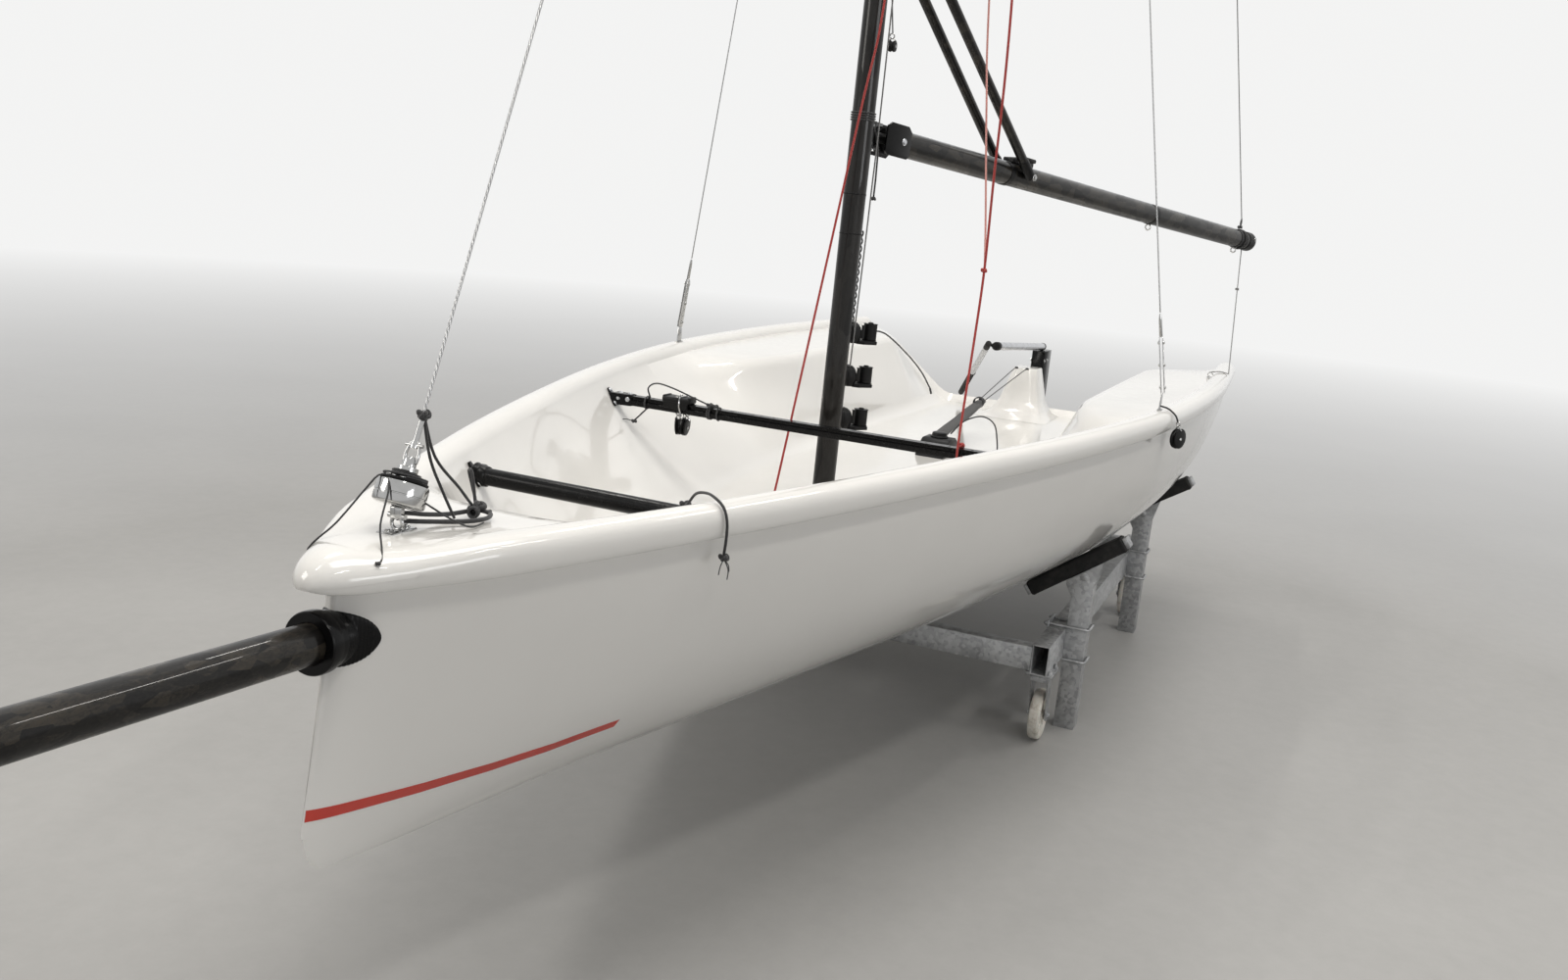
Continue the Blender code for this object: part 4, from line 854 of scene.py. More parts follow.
def make_deck():
    marks = (0.0, 0.035, 0.18, 0.40, 0.90, 1.45, 1.60, 1.75, 1.90, 2.10, 2.45, 2.90, 3.37, 3.66,
             3.75, 3.80, 3.86, 4.10)
    fine = stations(marks, STATION_SPACING)
    fine += stations((4.10, 4.20, 4.235, 4.262, 4.280, 4.288, 4.294, 4.2975, 4.2995),
                     NOSE_SPACING)[1:]
    rings = [[place(x - 0.25 * max(x - 4.10, 0.0)**2, y, z) for y, z in section_loop(deck_half(x))]
             for x in fine]
    Build().rings(rings).done("deck_moulding", [WHITE], "boat", ["deck"], 32,
                              cut=[sprit_cutter(), case_cutter()])


STRIPE = ((3.655, 0.171), (3.80, 0.166), (3.93, 0.171), (4.07, 0.183), (4.185, 0.197),
          (4.254, 0.206), (STEM_X, 0.210))


def skin_y(x, z):
    half = outer_half(x)
    return float(np.interp(z, [p[1] for p in half], [p[0] for p in half]))


def make_stripes():
    """A red stripe on each bow, just proud of the skin."""
    for side, label in SIDES:
        rings = []
        for x in spread(STRIPE[0][0], STEM_X, 90):
            middle = float(np.interp(x, [p[0] for p in STRIPE], [p[1] for p in STRIPE]))
            ring = []
            for proud, heights in ((0.0006, (-0.0085, -0.0042, 0.0, 0.0042, 0.0085)),
                                   (-0.0015, (0.0085, 0.0, -0.0085))):
                for dz in heights:
                    y = max(skin_y(x, middle + dz) + proud, 0.0004)
                    ring.append(place(*raked(x, side * y, middle + dz)))
            rings.append(ring)
        Build().rings(rings).done(f"stripe_{label}", [RED_FILM], "boat")


def wall_y(x, z):
    half = inner_half(x)[2:]
    return float(np.interp(z, [p[1] for p in half], [p[0] for p in half]))


make_hull()
make_deck()
make_stripes()


# Bowsprit and its cuff

def make_bowsprit():
    tube, end, reach = Build(), Build(), SPRIT_REACH
    tube.lathe(((-SPRIT_INBOARD, 0.0255), (-SPRIT_INBOARD, 0.0292), (-SPRIT_INBOARD + 0.001, 0.030),
                *((a, 0.030) for a in spread(-0.42, 0.98, 29)),
                (reach - 0.001, 0.030), (reach, 0.0290)), SPRIT_ROOT, SPRIT_AXIS, 72)
    tube.done("bowsprit_tube", [CARBON_SPRIT], "bowsprit", ["bowsprit"])
    end.lathe(((reach - 0.046, 0.0300), (reach - 0.045, 0.0316), (reach - 0.004, 0.0318),
               (reach + 0.002, 0.0305), (reach + 0.004, 0.026), (reach + 0.0042, 0.010),
               (reach + 0.0035, 0.0008)), SPRIT_ROOT, SPRIT_AXIS, 56)
    end.shade = 1
    eye = SPRIT_ROOT + (reach - 0.022) * SPRIT_AXIS - Vector((0, 0, 0.034))
    end.hoop(eye, (0, 1, 0), 0.011, 0.0028)
    end.done("bowsprit_end", [PLASTIC, STEEL], "bowsprit")


def real_skin(x, z):
    """The raked hull's half breadth at a place in boat axes, or less than 0 ahead of the stem."""
    unraked = x
    for _ in range(6):
        unraked += x - raked(unraked, 0.0, z)[0]
    return skin_y(unraked, z) if unraked <= STEM_X else -1.0


def make_cuff():
    """A ribbed moulding round the bowsprit whose rounded sides lie back along the hull."""
    back, front, shoulder, flange, rounding = -0.0795, 0.0085, -0.020, -0.0125, 0.0065
    rib_start, rib_end, rib_pitch, bore = -0.072, -0.026, 0.0046, 0.0309
    up = Vector((-SPRIT_AXIS.z, 0, SPRIT_AXIS.x))
    count, rings = 23, []
    for along in spread(back, front, 130):
        height = 0.0415 * math.sqrt(max(1.0 - (min(along - shoulder, 0.0) / 0.0605)**2, 0.0008))
        if along > shoulder:
            height = 0.0425
        if along > flange:
            height = 0.0452 + 0.0008 * math.sin(math.pi * (along - flange) / (front - flange))
        if along > rounding:
            height -= 0.6 * (along - rounding)
        ribbed = rib_start < along < rib_end
        rib = 0.00065 * math.cos(2 * math.pi * along / rib_pitch) if ribbed else 0.0
        half = []
        for k in range(count):
            angle = -0.5 * math.pi + math.pi * k / (count - 1)
            lift = height * math.sin(angle)
            middle = Vector((SPRIT_STEM[0], 0, SPRIT_STEM[1])) + along * SPRIT_AXIS + lift * up
            beside = real_skin(middle.x, middle.z)
            proud = 0.0060 * math.sqrt(max(math.cos(angle), 0.0)) - 0.0012
            y = max(height * math.cos(angle) + rib, beside + proud + rib)
            half.append((y if 0 < k < count - 1 or beside > 0 else 0.0002, lift))
        ring = [(y, lift) for y, lift in half] + [(-y, lift) for y, lift in reversed(half)]
        rings.append([SPRIT_ROOT + along * SPRIT_AXIS + lift * up + Vector((0, y, 0))
                      for y, lift in ring])
    for along in (front, -0.024):
        ring = []
        for k in range(2 * count):
            step = k if k < count else k - 1
            angle = -0.5 * math.pi + 2 * math.pi * step / (2 * count - 2)
            ring.append(SPRIT_ROOT + along * SPRIT_AXIS + bore * math.sin(angle) * up
                        + Vector((0, bore * math.cos(angle), 0)))
        rings.append(ring)
    Build().rings(rings).done("cuff_ribbed", [SATIN], "boat", ["bow_cuff"], 50)


make_bowsprit()
make_cuff()


# Mast and its fittings

def make_mast():
    """A round tube with a sail groove down its aft side, its bands and its step."""
    def ring(height):
        points = [mast_place(height, -MAST_RADIUS * math.cos(t), MAST_RADIUS * math.sin(t))
                  for t in spread(-math.pi + 0.085, math.pi - 0.085, 68)]
        groove = ((0.0245, 0.0022), (0.0232, 0.0042), (0.0200, 0.0048), (0.0176, 0.0025))
        return (points + [mast_place(height, aft, side) for aft, side in groove]
                + [mast_place(height, aft, -side) for aft, side in reversed(groove)])

    heights = (0.001, 0.012, 0.4, 1.2, 2.4, 3.6, 4.8, 5.9, MAST_LENGTH)
    Build().rings([ring(h) for h in heights]).done("mast_tube", [CARBON_MAST], "boat", ["mast"], 40)
    bands = Build()
    for h, thick, r in ((0.004, 0.016, 0.0325), (0.70, 0.003, 0.0296), (0.80, 0.003, 0.0296)):
        bands.lathe(((h, MAST_RADIUS), (h + 0.001, r), (h + thick, r),
                     (h + thick + 0.001, MAST_RADIUS)), mast_place(0.0), MAST_UP, 48)
    bands.lathe(((0.0, 0.029), (0.001, 0.0312), (0.020, 0.0312), (0.0235, 0.026), (0.0245, 0.002)),
                mast_place(MAST_LENGTH - 0.020), MAST_UP, 40)
    bands.done("mast_bands", [PLASTIC], "boat")
    step = Build()
    step.block((0.16, 0.11, 0.008), place(MAST_X, 0, FLOOR_TOP + 0.004), bevel=0.002)
    step.lathe(((0.0, 0.045), (0.010, 0.042), (0.0125, 0.040)),
               place(MAST_X, 0, FLOOR_TOP + 0.008), (0, 0, 1), 40)
    step.shade = 1
    for sx in (-0.065, 0.065):
        for sy in (-0.042, 0.042):
            step.bolt(place(MAST_X + sx, sy, FLOOR_TOP + 0.008), (0, 0, 1), 0.0045, 0.003, 16)
    step.done("mast_step_plate", [PLASTIC, STEEL], "boat", ["mast_step"])


def make_cleats():
    """Swivelling cam cleats behind the mast: a domed swivel and two ribbed jaws over a plate."""
    swivel, swing, teeth = 0.050, math.radians(30.0), 22
    for number, height in enumerate((0.215, 0.330, 0.445), start=1):
        fixed = (Matrix.Translation(mast_place(height)) @ MAST_TURN
                 @ Matrix.Diagonal((-1.0, 1.0, 1.0, 1.0)))
        base = (fixed @ Matrix.Translation((swivel, 0, 0)) @ Matrix.Rotation(swing, 4, "Z")
                @ Matrix.Translation((-swivel, 0, 0)))
        turn = base.to_3x3()
        axis = turn @ Vector((0, 0, 1))

        def at(x, y, z):
            """A point given aft, to port and up from the cleat's middle on the mast."""
            return base @ Vector((x, y, z))

        build = Build()
        build.block((0.022, 0.040, 0.052), fixed @ Vector((0.036, 0, 0)), fixed.to_3x3(), 0.007, 3)
        build.block((0.044, 0.030, 0.018), at(0.054, 0, -0.004), turn, 0.005, 3)
        build.lathe(((-0.026, 0.012), (-0.024, 0.017), (-0.016, 0.0225), (-0.004, 0.0240),
                     (0.008, 0.0235), (0.017, 0.0208), (0.024, 0.0160), (0.029, 0.0095),
                     (0.0305, 0.0030)), at(0.070, 0.000, 0), axis, 40)
        outline = [(-0.026, -0.017), (-0.018, -0.025), (0.028, -0.025), (0.036, -0.018),
                   (0.036, 0.022), (0.030, 0.030), (-0.014, 0.030), (-0.026, 0.018)]
        build.plate(outline, 0.010, base @ Matrix.Translation((0.102, 0.002, -0.022)), 0.0025)
        for x, y, radius, top in ((0.121, 0.012, 0.0180, 0.028), (0.130, -0.015, 0.0130, 0.020)):
            outline = []
            for k, angle in enumerate(angles(2 * teeth)):
                size = radius - (0.0012 if k % 2 else 0.0)
                outline.append((size * math.cos(angle), size * math.sin(angle)))
            tall = top + 0.016
            build.plate(outline, tall, base @ Matrix.Translation((x, y, top - 0.5 * tall)), 0.0035)
            build.lathe(((0.0, 0.0072), (0.0026, 0.0072), (0.0040, 0.0045)), at(x, y, top), axis,
                        20)
        build.shade = 1
        build.lathe(((0.0, 0.0045), (0.0016, 0.0045), (0.0026, 0.0025)), at(0.070, 0.000, 0.0302),
                    axis, 18)
        for z in (-0.014, 0.014):
            build.lathe(((0.0, 0.0040), (0.0018, 0.0038), (0.0026, 0.002)), at(0.040, 0.0200, z),
                        turn @ Vector((0, 1, 0)), 16)
        build.hoop(at(0.142, 0.001, -0.006), turn @ Vector((1, 0, 0)), 0.0105, 0.0018, 8, 24)
        build.done(f"cam_cleat_{number}", [PLASTIC, STEEL], "boat", [f"cleat_arm_{number}"])


def make_hinges():
    """Gooseneck and strut brackets with their bolts."""
    for name, height in (("gooseneck_bracket", GOOSENECK_HEIGHT), ("gnav_bracket", GNAV_HEIGHT)):
        dress(name, SATIN, 0.0018)
        trim = Build()
        for side in (-1, 1):
            for dz in (-0.022, 0.022):
                foot = mast_place(height + dz, 0.030, side * 0.017)
                trim.bolt(foot, (0, side, 0), 0.0036, 0.0028, 16)
        for end in (-1, 1):
            trim.lathe(((0.0, 0.0085), (0.0028, 0.0085), (0.0042, 0.006)),
                       mast_place(height + end * 0.034, PIVOT_SETBACK), MAST_UP * end, 20)
        trim.done(name + "_bolts", [STEEL], "boat")


make_mast()
make_cleats()
make_hinges()


# Boom and strut

def make_boom():
    """A round tube with a track along its top, whose pale lips also paint a highlight along its top
    edge.
    """
    def ring(along):
        points = [boom_place(along, BOOM_RADIUS * math.cos(t), BOOM_RADIUS * math.sin(t))
                  for t in spread(0.07, 2 * math.pi - 0.07, 60)]
        groove = ((0.0285, -0.0020), (0.0270, -0.0045), (0.0225, -0.0045), (0.0225, 0.0045),
                  (0.0270, 0.0045), (0.0285, 0.0020))
        return points + [boom_place(along, up, side) for up, side in groove]

    rings = [ring(a) for a in (0.060, 0.075, *spread(0.2, 2.2, 11), BOOM_LENGTH)]
    Build().rings(rings).done("boom_tube", [CARBON_BOOM], "boom", ["boom"], 40)
    # The pale alloy lips are the track's edges, set a little high so they also show as a painted
    # highlight along the boom's top edge.
    trim = Build()
    for side in (-1, 1):
        trim.tube([boom_place(a, 0.0326, side * 0.0052) for a in spread(0.125, 2.33, 40)],
                  0.0022, 8)
    trim.done("boom_track_lips_and_highlight", [ALLOY], "boom")


def boom_turn():
    """Axes of the boom: x along it, y to port, z up from it."""
    turn = BOOM_FRAME.to_3x3()
    along, up = turn @ BOOM_ALONG, turn @ BOOM_UP
    return Matrix((along, turn @ Vector((0, 1, 0)), up)).transposed()


def make_boom_ends():
    along, port, up = boom_turn().col
    front = Build()
    outline = [(0.0, -0.034), (0.012, -0.042), (0.094, -0.042), (0.104, -0.032), (0.104, 0.028),
               (0.088, 0.042), (0.016, 0.042), (0.0, 0.032)]
    for side in (-1, 1):
        centre = boom_place(0.014, 0.0, side * 0.0345)
        front.plate(outline, 0.005, axes(along, up, along.cross(up), centre), 0.0012)
    front.lathe(((0.055, 0.024), (0.057, 0.0335), (0.090, 0.0340), (0.092, 0.0330)),
                boom_place(0.0), along, 48)
    front.shade = 1
    for side in (-1, 1):
        front.bolt(boom_place(0.088, 0.0, side * 0.0370), port * side, 0.0062, 0.0036, 16)
    front.done("boom_front", [SATIN, ALLOY], "boom")
    dress("boom_toggle", PLASTIC, 0.0015)
    end = Build()
    end.lathe(((-0.020, BOOM_RADIUS), (-0.019, 0.0352), (0.004, 0.0358), (0.010, 0.0362),
               (0.026, 0.0360), (0.030, 0.0335), (0.031, 0.028), (0.0312, 0.002)),
              boom_place(BOOM_LENGTH), along, 56)
    for a in (2.262, 1.55, 0.62):
        end.lathe(((0.0, BOOM_RADIUS), (0.0005, 0.0346), (0.022, 0.0346), (0.0225, BOOM_RADIUS)),
                  boom_place(a), along, 56)
    end.shade = 1
    for side in (-1, 1):
        end.bolt(boom_place(BOOM_LENGTH + 0.015, 0.010, side * 0.0352), port * side, 0.0045,
                 0.0028, 16)
    for a in (2.273, 1.561):
        end.hoop(boom_place(a, -0.044), along, 0.0095, 0.0026)
    end.done("boom_end_and_bands", [PLASTIC, STEEL], "boom", ["boom_end_cap"])


def make_struts():
    """Two tubes from the bracket up the mast down to a slide on the boom."""
    rise = GNAV_HEIGHT - GOOSENECK_HEIGHT
    foot = GNAV_FOOT * BOOM_ALONG
    beside = BOOM_RADIUS + 0.014 + GAP
    for side, label in SIDES:
        base = foot + Vector((0.0, side * beside, 0.0))
        head = Vector((-0.034, side * 0.042, rise - 0.0103))
        run = (base - head).normalized()
        head.z -= 0.014 * math.sqrt(1.0 - run.z**2)
        a, b = BOOM_FRAME @ head, BOOM_FRAME @ base
        line = (b - a).normalized()
        length = (b - a).length
        tube = Build()
        tube.lathe(((0.0, 0.0125), (0.001, 0.014), (length - 0.012, 0.014),
                    (length - 0.010, 0.0135)), a, line, 36)
        tube.shade = 1
        tube.lathe(((length - 0.070, 0.0140), (length - 0.069, 0.0155), (length - 0.012, 0.0155),
                    (length, 0.0145), (length + 0.003, 0.010)), a, line, 36)
        tube.lathe(((0.0, 0.0152), (0.045, 0.0152), (0.046, 0.0140)), a, line, 36)
        tube.done(f"strut_{label}", [CARBON_BOOM, PLASTIC], "boom", [f"gnav_strut_{label}"])
    dress("gnav_yoke", PLASTIC, 0.0018)
    slide = Build()
    turn = boom_turn()
    slide.block((0.110, 0.034, 0.016), boom_place(GNAV_FOOT, 0.0405), turn, 0.004, 3)
    slide.block((0.046, 0.090, 0.012), boom_place(GNAV_FOOT, 0.0485), turn, 0.004, 3)
    slide.shade = 1
    for side in (-1, 1):
        slide.bolt(boom_place(GNAV_FOOT, 0.0, side * 0.0612), turn.col[1] * side, 0.0065, 0.004)
    slide.lathe(((0.0, 0.006), (0.122, 0.006)), boom_place(GNAV_FOOT, 0.0, -0.061), turn.col[1], 16)
    slide.done("strut_slide", [PLASTIC, STEEL], "boom")


make_boom()
make_boom_ends()
make_struts()


# Standing rigging

def make_shrouds():
    """Each shroud's wire, its adjuster of two drilled plates, and the plate in the gunwale."""
    holes, pitch, pinned = 7, 0.021, (0, 3, 6)
    across = Vector((1, 0, 0))
    for side, label in SIDES:
        y = side * (smooth_value(CHAINPLATE_X, HULL_STATIONS, 2) - 0.012)
        foot = place(CHAINPLATE_X, y, 0.0)
        foot.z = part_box(f"shroud_{label}")[0][2]
        top = mast_place(HOUNDS, side=side * 0.0315)
        up = (top - foot).normalized()
        Build().line([foot + 0.215 * up, top], 0.05, 0.0019, 8).done(
            f"shroud_wire_{label}", [WIRE], "boat", [f"shroud_{label}"])
        fit = Build()
        sideways = up.cross(across).normalized()
        outline = [(-0.0085, 0.0), (0.0085, 0.0), (0.0085, 0.150), (0.004, 0.158), (-0.004, 0.158),
                   (-0.0085, 0.150)]
        for lift in (-1, 1):
            centre = foot - 0.012 * up + lift * 0.0044 * sideways
            fit.plate(outline, 0.0016, axes(across, up, across.cross(up), centre), 0.0003)
        for k in range(holes):
            at = foot + (0.004 + pitch * k) * up
            if k in pinned:
                fit.bolt(at + 0.0054 * sideways, sideways, 0.0038, 0.0026, 14)
                fit.bolt(at - 0.0054 * sideways, -sideways, 0.0038, 0.0026, 14)
            else:
                fit.hoop(at + 0.0053 * sideways, sideways, 0.0030, 0.0005, 6, 16)
        fit.lathe(((0.0, 0.0035), (0.003, 0.0048), (0.050, 0.0044), (0.058, 0.0034),
                   (0.064, 0.0024)), foot + 0.146 * up, up, 20)
        outline = [(-0.014, 0.0), (0.014, 0.0), (0.012, 0.040), (0.007, 0.050), (-0.007, 0.050),
                   (-0.012, 0.040)]
        centre = Vector((place(CHAINPLATE_X, 0, 0).x, y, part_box(f"chainplate_{label}")[0][2]))
        fit.plate(outline, 0.0035, Matrix.Translation(centre) @ UPRIGHT, 0.0006)
        fit.block((0.034, 0.012, 0.003), centre + Vector((0, 0, 0.0015)), None, 0.0008)
        fit.done(f"shroud_adjuster_{label}", [STEEL], "boat", [f"chainplate_{label}"])


def coil(build, centre, axis, radius, thickness, turns, climb):
    """Close turns of line round a drum or tube."""
    axis = Vector(axis).normalized()
    side = axis.orthogonal().normalized()
    other = axis.cross(side)
    steps = 24
    path = [centre + (climb * k / steps) * axis
            + radius * (math.cos(2 * math.pi * k / steps) * side
                        + math.sin(2 * math.pi * k / steps) * other)
            for k in range(int(steps * turns) + 1)]
    build.tube(path, 0.5 * thickness, 8)


def make_bow_lines(low, lean):
    """The lines at the furler: its own line, two strops and the ties down from the stay."""
    lines = Build()
    knot = low + 0.140 * lean
    strop = place(3.945, 0.028, 0.5985)
    lines.knot(knot, 0.0092, 0.0030)
    coil(lines, knot - 0.008 * lean, lean, 0.0060, 0.0042, 2, 0.0044)
    lines.line([knot, (4.036, 0.006, 0.690), (4.020, 0.018, 0.640), (4.002, 0.028, 0.5965)],
               0.012, 0.0024, 10)
    lines.line([knot, (4.024, 0.006, 0.690), (3.985, 0.022, 0.640), strop, (3.925, 0.040, 0.5945)],
               0.012, 0.0024, 10)
    lines.line([(4.091, -0.006, 0.606), (4.070, -0.010, 0.609), (4.035, 0.000, 0.6025),
                (3.990, 0.010, 0.5965), strop], 0.008, 0.0036, 12)
    lines.line([(4.091, 0.006, 0.604), (4.060, 0.022, 0.600), (4.010, 0.050, 0.5955),
                (3.972, 0.064, 0.5952), (3.940, 0.050, 0.5955), strop], 0.008, 0.0036, 12)
    lines.knot(strop + Vector((0, 0, 0.003)), 0.0125, 0.0040, Matrix.Rotation(0.7, 3, "X"))
    coil(lines, strop + Vector((0.010, 0.004, 0.0)), (1, 0.4, 0), 0.0075, 0.0046, 3, 0.0048)
    lines.line([strop, (3.932, 0.014, 0.615), (3.930, 0.004, 0.640), (3.933, 0.002, 0.655),
                (3.938, 0.010, 0.657), (3.940, 0.016, 0.640), (3.942, 0.022, 0.612), strop],
               0.006, 0.0026, 10)
    lines.done("bow_strops", [BLACK_ROPE], "boat")
    thin = Build()
    coil(thin, low + 0.0415 * lean, lean, 0.0320, 0.0030, 1.6, 0.0028)
    coil(thin, low + 0.0420 * lean, lean, 0.0205, 0.0030, 3.0, 0.0030)
    start = low + 0.045 * lean
    for over_lip, down in (
            (((0.014, -0.018, 0.002), (0.036, -0.020, 0.004), (0.052, -0.030, -0.016)),
             ((4.170, -0.050, 0.607), (4.186, -0.068, 0.5840), (4.192, -0.081, 0.567),
              (4.194, -0.0855, 0.547))),
            (((0.018, -0.006, 0.002), (0.038, 0.000, 0.003), (0.050, 0.010, -0.012)),
             ((4.168, 0.026, 0.617), (4.186, 0.044, 0.5905), (4.202, 0.058, 0.5790),
              (4.214, 0.062, 0.5765)))):
        thin.line([start + Vector(point) for point in over_lip] + list(down), 0.008, 0.0015, 8)
    thin.knot(place(4.194, -0.0860, 0.543), 0.0034, 0.0016)
    thin.knot(place(4.215, 0.062, 0.5770), 0.0030, 0.0015)
    thin.line([low + Vector((-0.020, 0.034, 0.006)), (4.050, 0.058, 0.6085),
               (4.020, 0.072, 0.5930), (3.985, 0.070, 0.5925)], 0.008, 0.0015, 8)
    thin.done("furling_line", [BLACK_ROPE], "boat")


def make_furler():
    """The polished furler drum on its eye, and the forestay's wire above it."""
    base = place(FURLER_X, 0.0, 0.5835)
    low = base + Vector((0, 0, 0.044))
    top = mast_place(HOUNDS, -0.0325)
    lean = (top - low).normalized()
    foot = Build()
    foot.block((0.058, 0.030, 0.008), base + Vector((0, 0, 0.0045)), None, 0.002)
    foot.hoop(base + Vector((0, 0, 0.018)), (1, 0, 0), 0.0095, 0.0030, 10, 24, -0.5 * math.pi)
    for sx in (-0.021, 0.021):
        foot.bolt(base + Vector((sx, 0, 0.0085)), (0, 0, 1), 0.0042, 0.003, 14)
    foot.block((0.012, 0.020, 0.020), low + Vector((0, 0, -0.010)), None, 0.003, 3)
    foot.lathe(((-0.015, 0.0042), (0.015, 0.0042)), base + Vector((0, 0, 0.029)), (0, 1, 0), 14)
    foot.done("furler_foot", [STEEL], "boat", ["bow_chainplate"])
    drum = Build()
    drum.lathe(((-0.001, 0.010), (0.0, 0.034), (0.002, 0.0375), (0.004, 0.0385), (0.0145, 0.0388),
                (0.0150, 0.0378), (0.0165, 0.0378), (0.0170, 0.0388), (0.031, 0.0385),
                (0.034, 0.0375), (0.0355, 0.034), (0.0356, 0.010)), low, lean, 64)
    drum.lathe(((0.0356, 0.012), (0.050, 0.0125), (0.0515, 0.0155), (0.058, 0.0155),
                (0.0595, 0.0105), (0.070, 0.0100), (0.074, 0.0085)), low, lean, 36)
    drum.lathe(((0.086, 0.0040), (0.087, 0.0062), (0.094, 0.0066), (0.100, 0.0046),
                (0.136, 0.0044), (0.140, 0.0030)), low, lean, 24)
    side = lean.cross(Vector((1, 0, 0))).normalized()
    for turn_side in (-1, 1):
        drum.line([low + up * lean + turn_side * out * side
                   for up, out in ((0.066, 0.011), (0.080, 0.0115), (0.096, 0.0070))],
                  0.003, 0.0026, 10)
    drum.lathe(((-0.015, 0.0030), (0.015, 0.0030)), low + 0.092 * lean, side, 12)
    drum.shade = 1
    drum.lathe(((0.0357, 0.024), (0.0360, 0.0352), (0.0385, 0.0356), (0.0398, 0.0340),
                (0.0400, 0.024)), low, lean, 56)
    front = lean.cross(side)
    drum.shade = 0
    for angle in angles(12):
        at = low + 0.0398 * lean + 0.0268 * (math.cos(angle) * side + math.sin(angle) * front)
        drum.lathe(((0.0, 0.0026), (0.0012, 0.0026), (0.0016, 0.0014)), at, lean, 10)
    drum.done("furler_drum_polished", [STEEL, PLASTIC], "boat", ["furler_drum"])
    Build().line([low + 0.136 * lean, top], 0.05, 0.0023, 8).done(
        "forestay_wire", [WIRE], "boat", ["forestay"])
    make_bow_lines(low, lean)


make_shrouds()
make_furler()


# Bars across the well

def corner_flange(build, x, z, side, size=0.052):
    """A three-cornered flange against the well's wall, and the frame for its bolts."""
    step, thick = 0.012, 0.005
    slope_x = (wall_y(x + step, z) - wall_y(x - step, z)) / (2 * step)
    slope_z = (wall_y(x, z + step) - wall_y(x, z - step)) / (2 * step)
    normal = Vector((-slope_x, 1.0, -slope_z)).normalized()
    across = Vector((1.0, slope_x, 0.0)).normalized()
    up = normal.cross(across)
    up = up if up.z > 0 else -up
    flip = Matrix.Diagonal((1.0, side, 1.0))
    foot = Vector((x, wall_y(x, z), z)) - 0.0030 * normal
    centre = place(foot.x, side * foot.y, foot.z)
    outline = [(a * size, b * size) for a, b in ((-0.55, -0.42), (-0.45, -0.50), (0.45, -0.50),
                                                 (0.55, -0.42), (0.10, 0.52), (-0.10, 0.52))]
    build.plate(outline, thick, axes(flip @ across, flip @ up, flip @ normal, centre), 0.001)
    inward = flip @ (-normal)
    return centre + 0.5 * thick * inward, flip @ across, flip @ up, inward


def make_track():
    """A grooved bar across the well with flattened ends and a flange at each wall."""
    x, z = TRACK_PLACE
    half = wall_y(x, z) - 0.006
    build = Build()
    section = [(-0.012, -0.013), (0.012, -0.013), (0.013, -0.011), (0.013, 0.000), (0.0095, 0.003),
               (0.0095, 0.007), (0.013, 0.009), (0.013, 0.013), (-0.013, 0.013), (-0.013, 0.009),
               (-0.0095, 0.007), (-0.0095, 0.003), (-0.013, 0.000), (-0.013, -0.011)]
    build.rings([[place(x + dx, y, z + dz) for dx, dz in section] for y in (-half, half)])
    bolts = [corner_flange(build, x, z, side) for side in (1, -1)]
    flat = [(-0.020, 0.0), (0.020, 0.0), (0.0135, 0.034), (0.0135, 0.060), (-0.0135, 0.060),
            (-0.0135, 0.034)]
    for side in (1, -1):
        turn = Matrix(((1, 0, 0), (0, -side, 0), (0, 0, -side))).to_4x4()
        build.plate(flat, 0.030, Matrix.Translation(place(x, side * half, z)) @ turn, 0.002)
    build.shade = 1
    for centre, across, up, inward in bolts:
        for a, b in ((-0.018, -0.018), (0.018, -0.018), (0.0, 0.018)):
            build.bolt(centre + a * across + b * up, inward, 0.0048, 0.0030, 16)
    for side in (1, -1):
        for y in (side * (half - inset) for inset in (0.020, 0.048)):
            build.bolt(place(x + 0.0137, y, z + 0.002), (1, 0, 0), 0.0042, 0.0024, 16)
            build.bolt(place(x, y, z + 0.0152), (0, 0, 1), 0.0042, 0.0024, 16)
    build.shade = 2
    for y in spread(-half + 0.06, half - 0.06, 18):
        build.lathe(((0.0, 0.0030), (0.0004, 0.0030)), place(x, y, z + 0.013), (0, 0, 1), 12)
    build.done("jib_track_bar", [SATIN, ALLOY, PLASTIC], "boat", ["jib_track"], 30)


def block_wheel(build, centre, axis, up, radius, half=0.0072):
    """A block: two cheeks, a sheave and a strap, its eye towards up."""
    axis, up = Vector(axis).normalized(), Vector(up).normalized()
    outline = [(radius * math.cos(t) * 0.95, radius * math.sin(t) + 0.10 * radius)
               for t in angles(28)]
    for side in (-1, 1):
        cheek = axes(up.cross(axis), up, axis, centre + side * half * axis)
        build.plate(outline, 0.0032, cheek, 0.0010)
    rim = half - 0.0022
    build.lathe(((-rim, 0.90 * radius), (-0.9 * rim, 0.95 * radius), (0.0, 0.78 * radius),
                 (0.9 * rim, 0.95 * radius), (rim, 0.90 * radius)), centre, axis, 32)
    build.shade = 1
    for side in (-1, 1):
        build.lathe(((0.0, 0.0045), (0.0016, 0.0045), (0.0024, 0.003)),
                    centre + side * (half + 0.0014) * axis, side * axis, 14)
    ends = [centre + (half + 0.0028) * axis * side + 0.9 * radius * up for side in (-1, 1)]
    build.line([ends[0], centre + 1.35 * radius * up, ends[1]], 0.003, 0.0020, 8)
    build.hoop(centre + (1.35 * radius + 0.006) * up, axis.cross(up), 0.0062, 0.0018, 8, 20)
    build.shade = 0


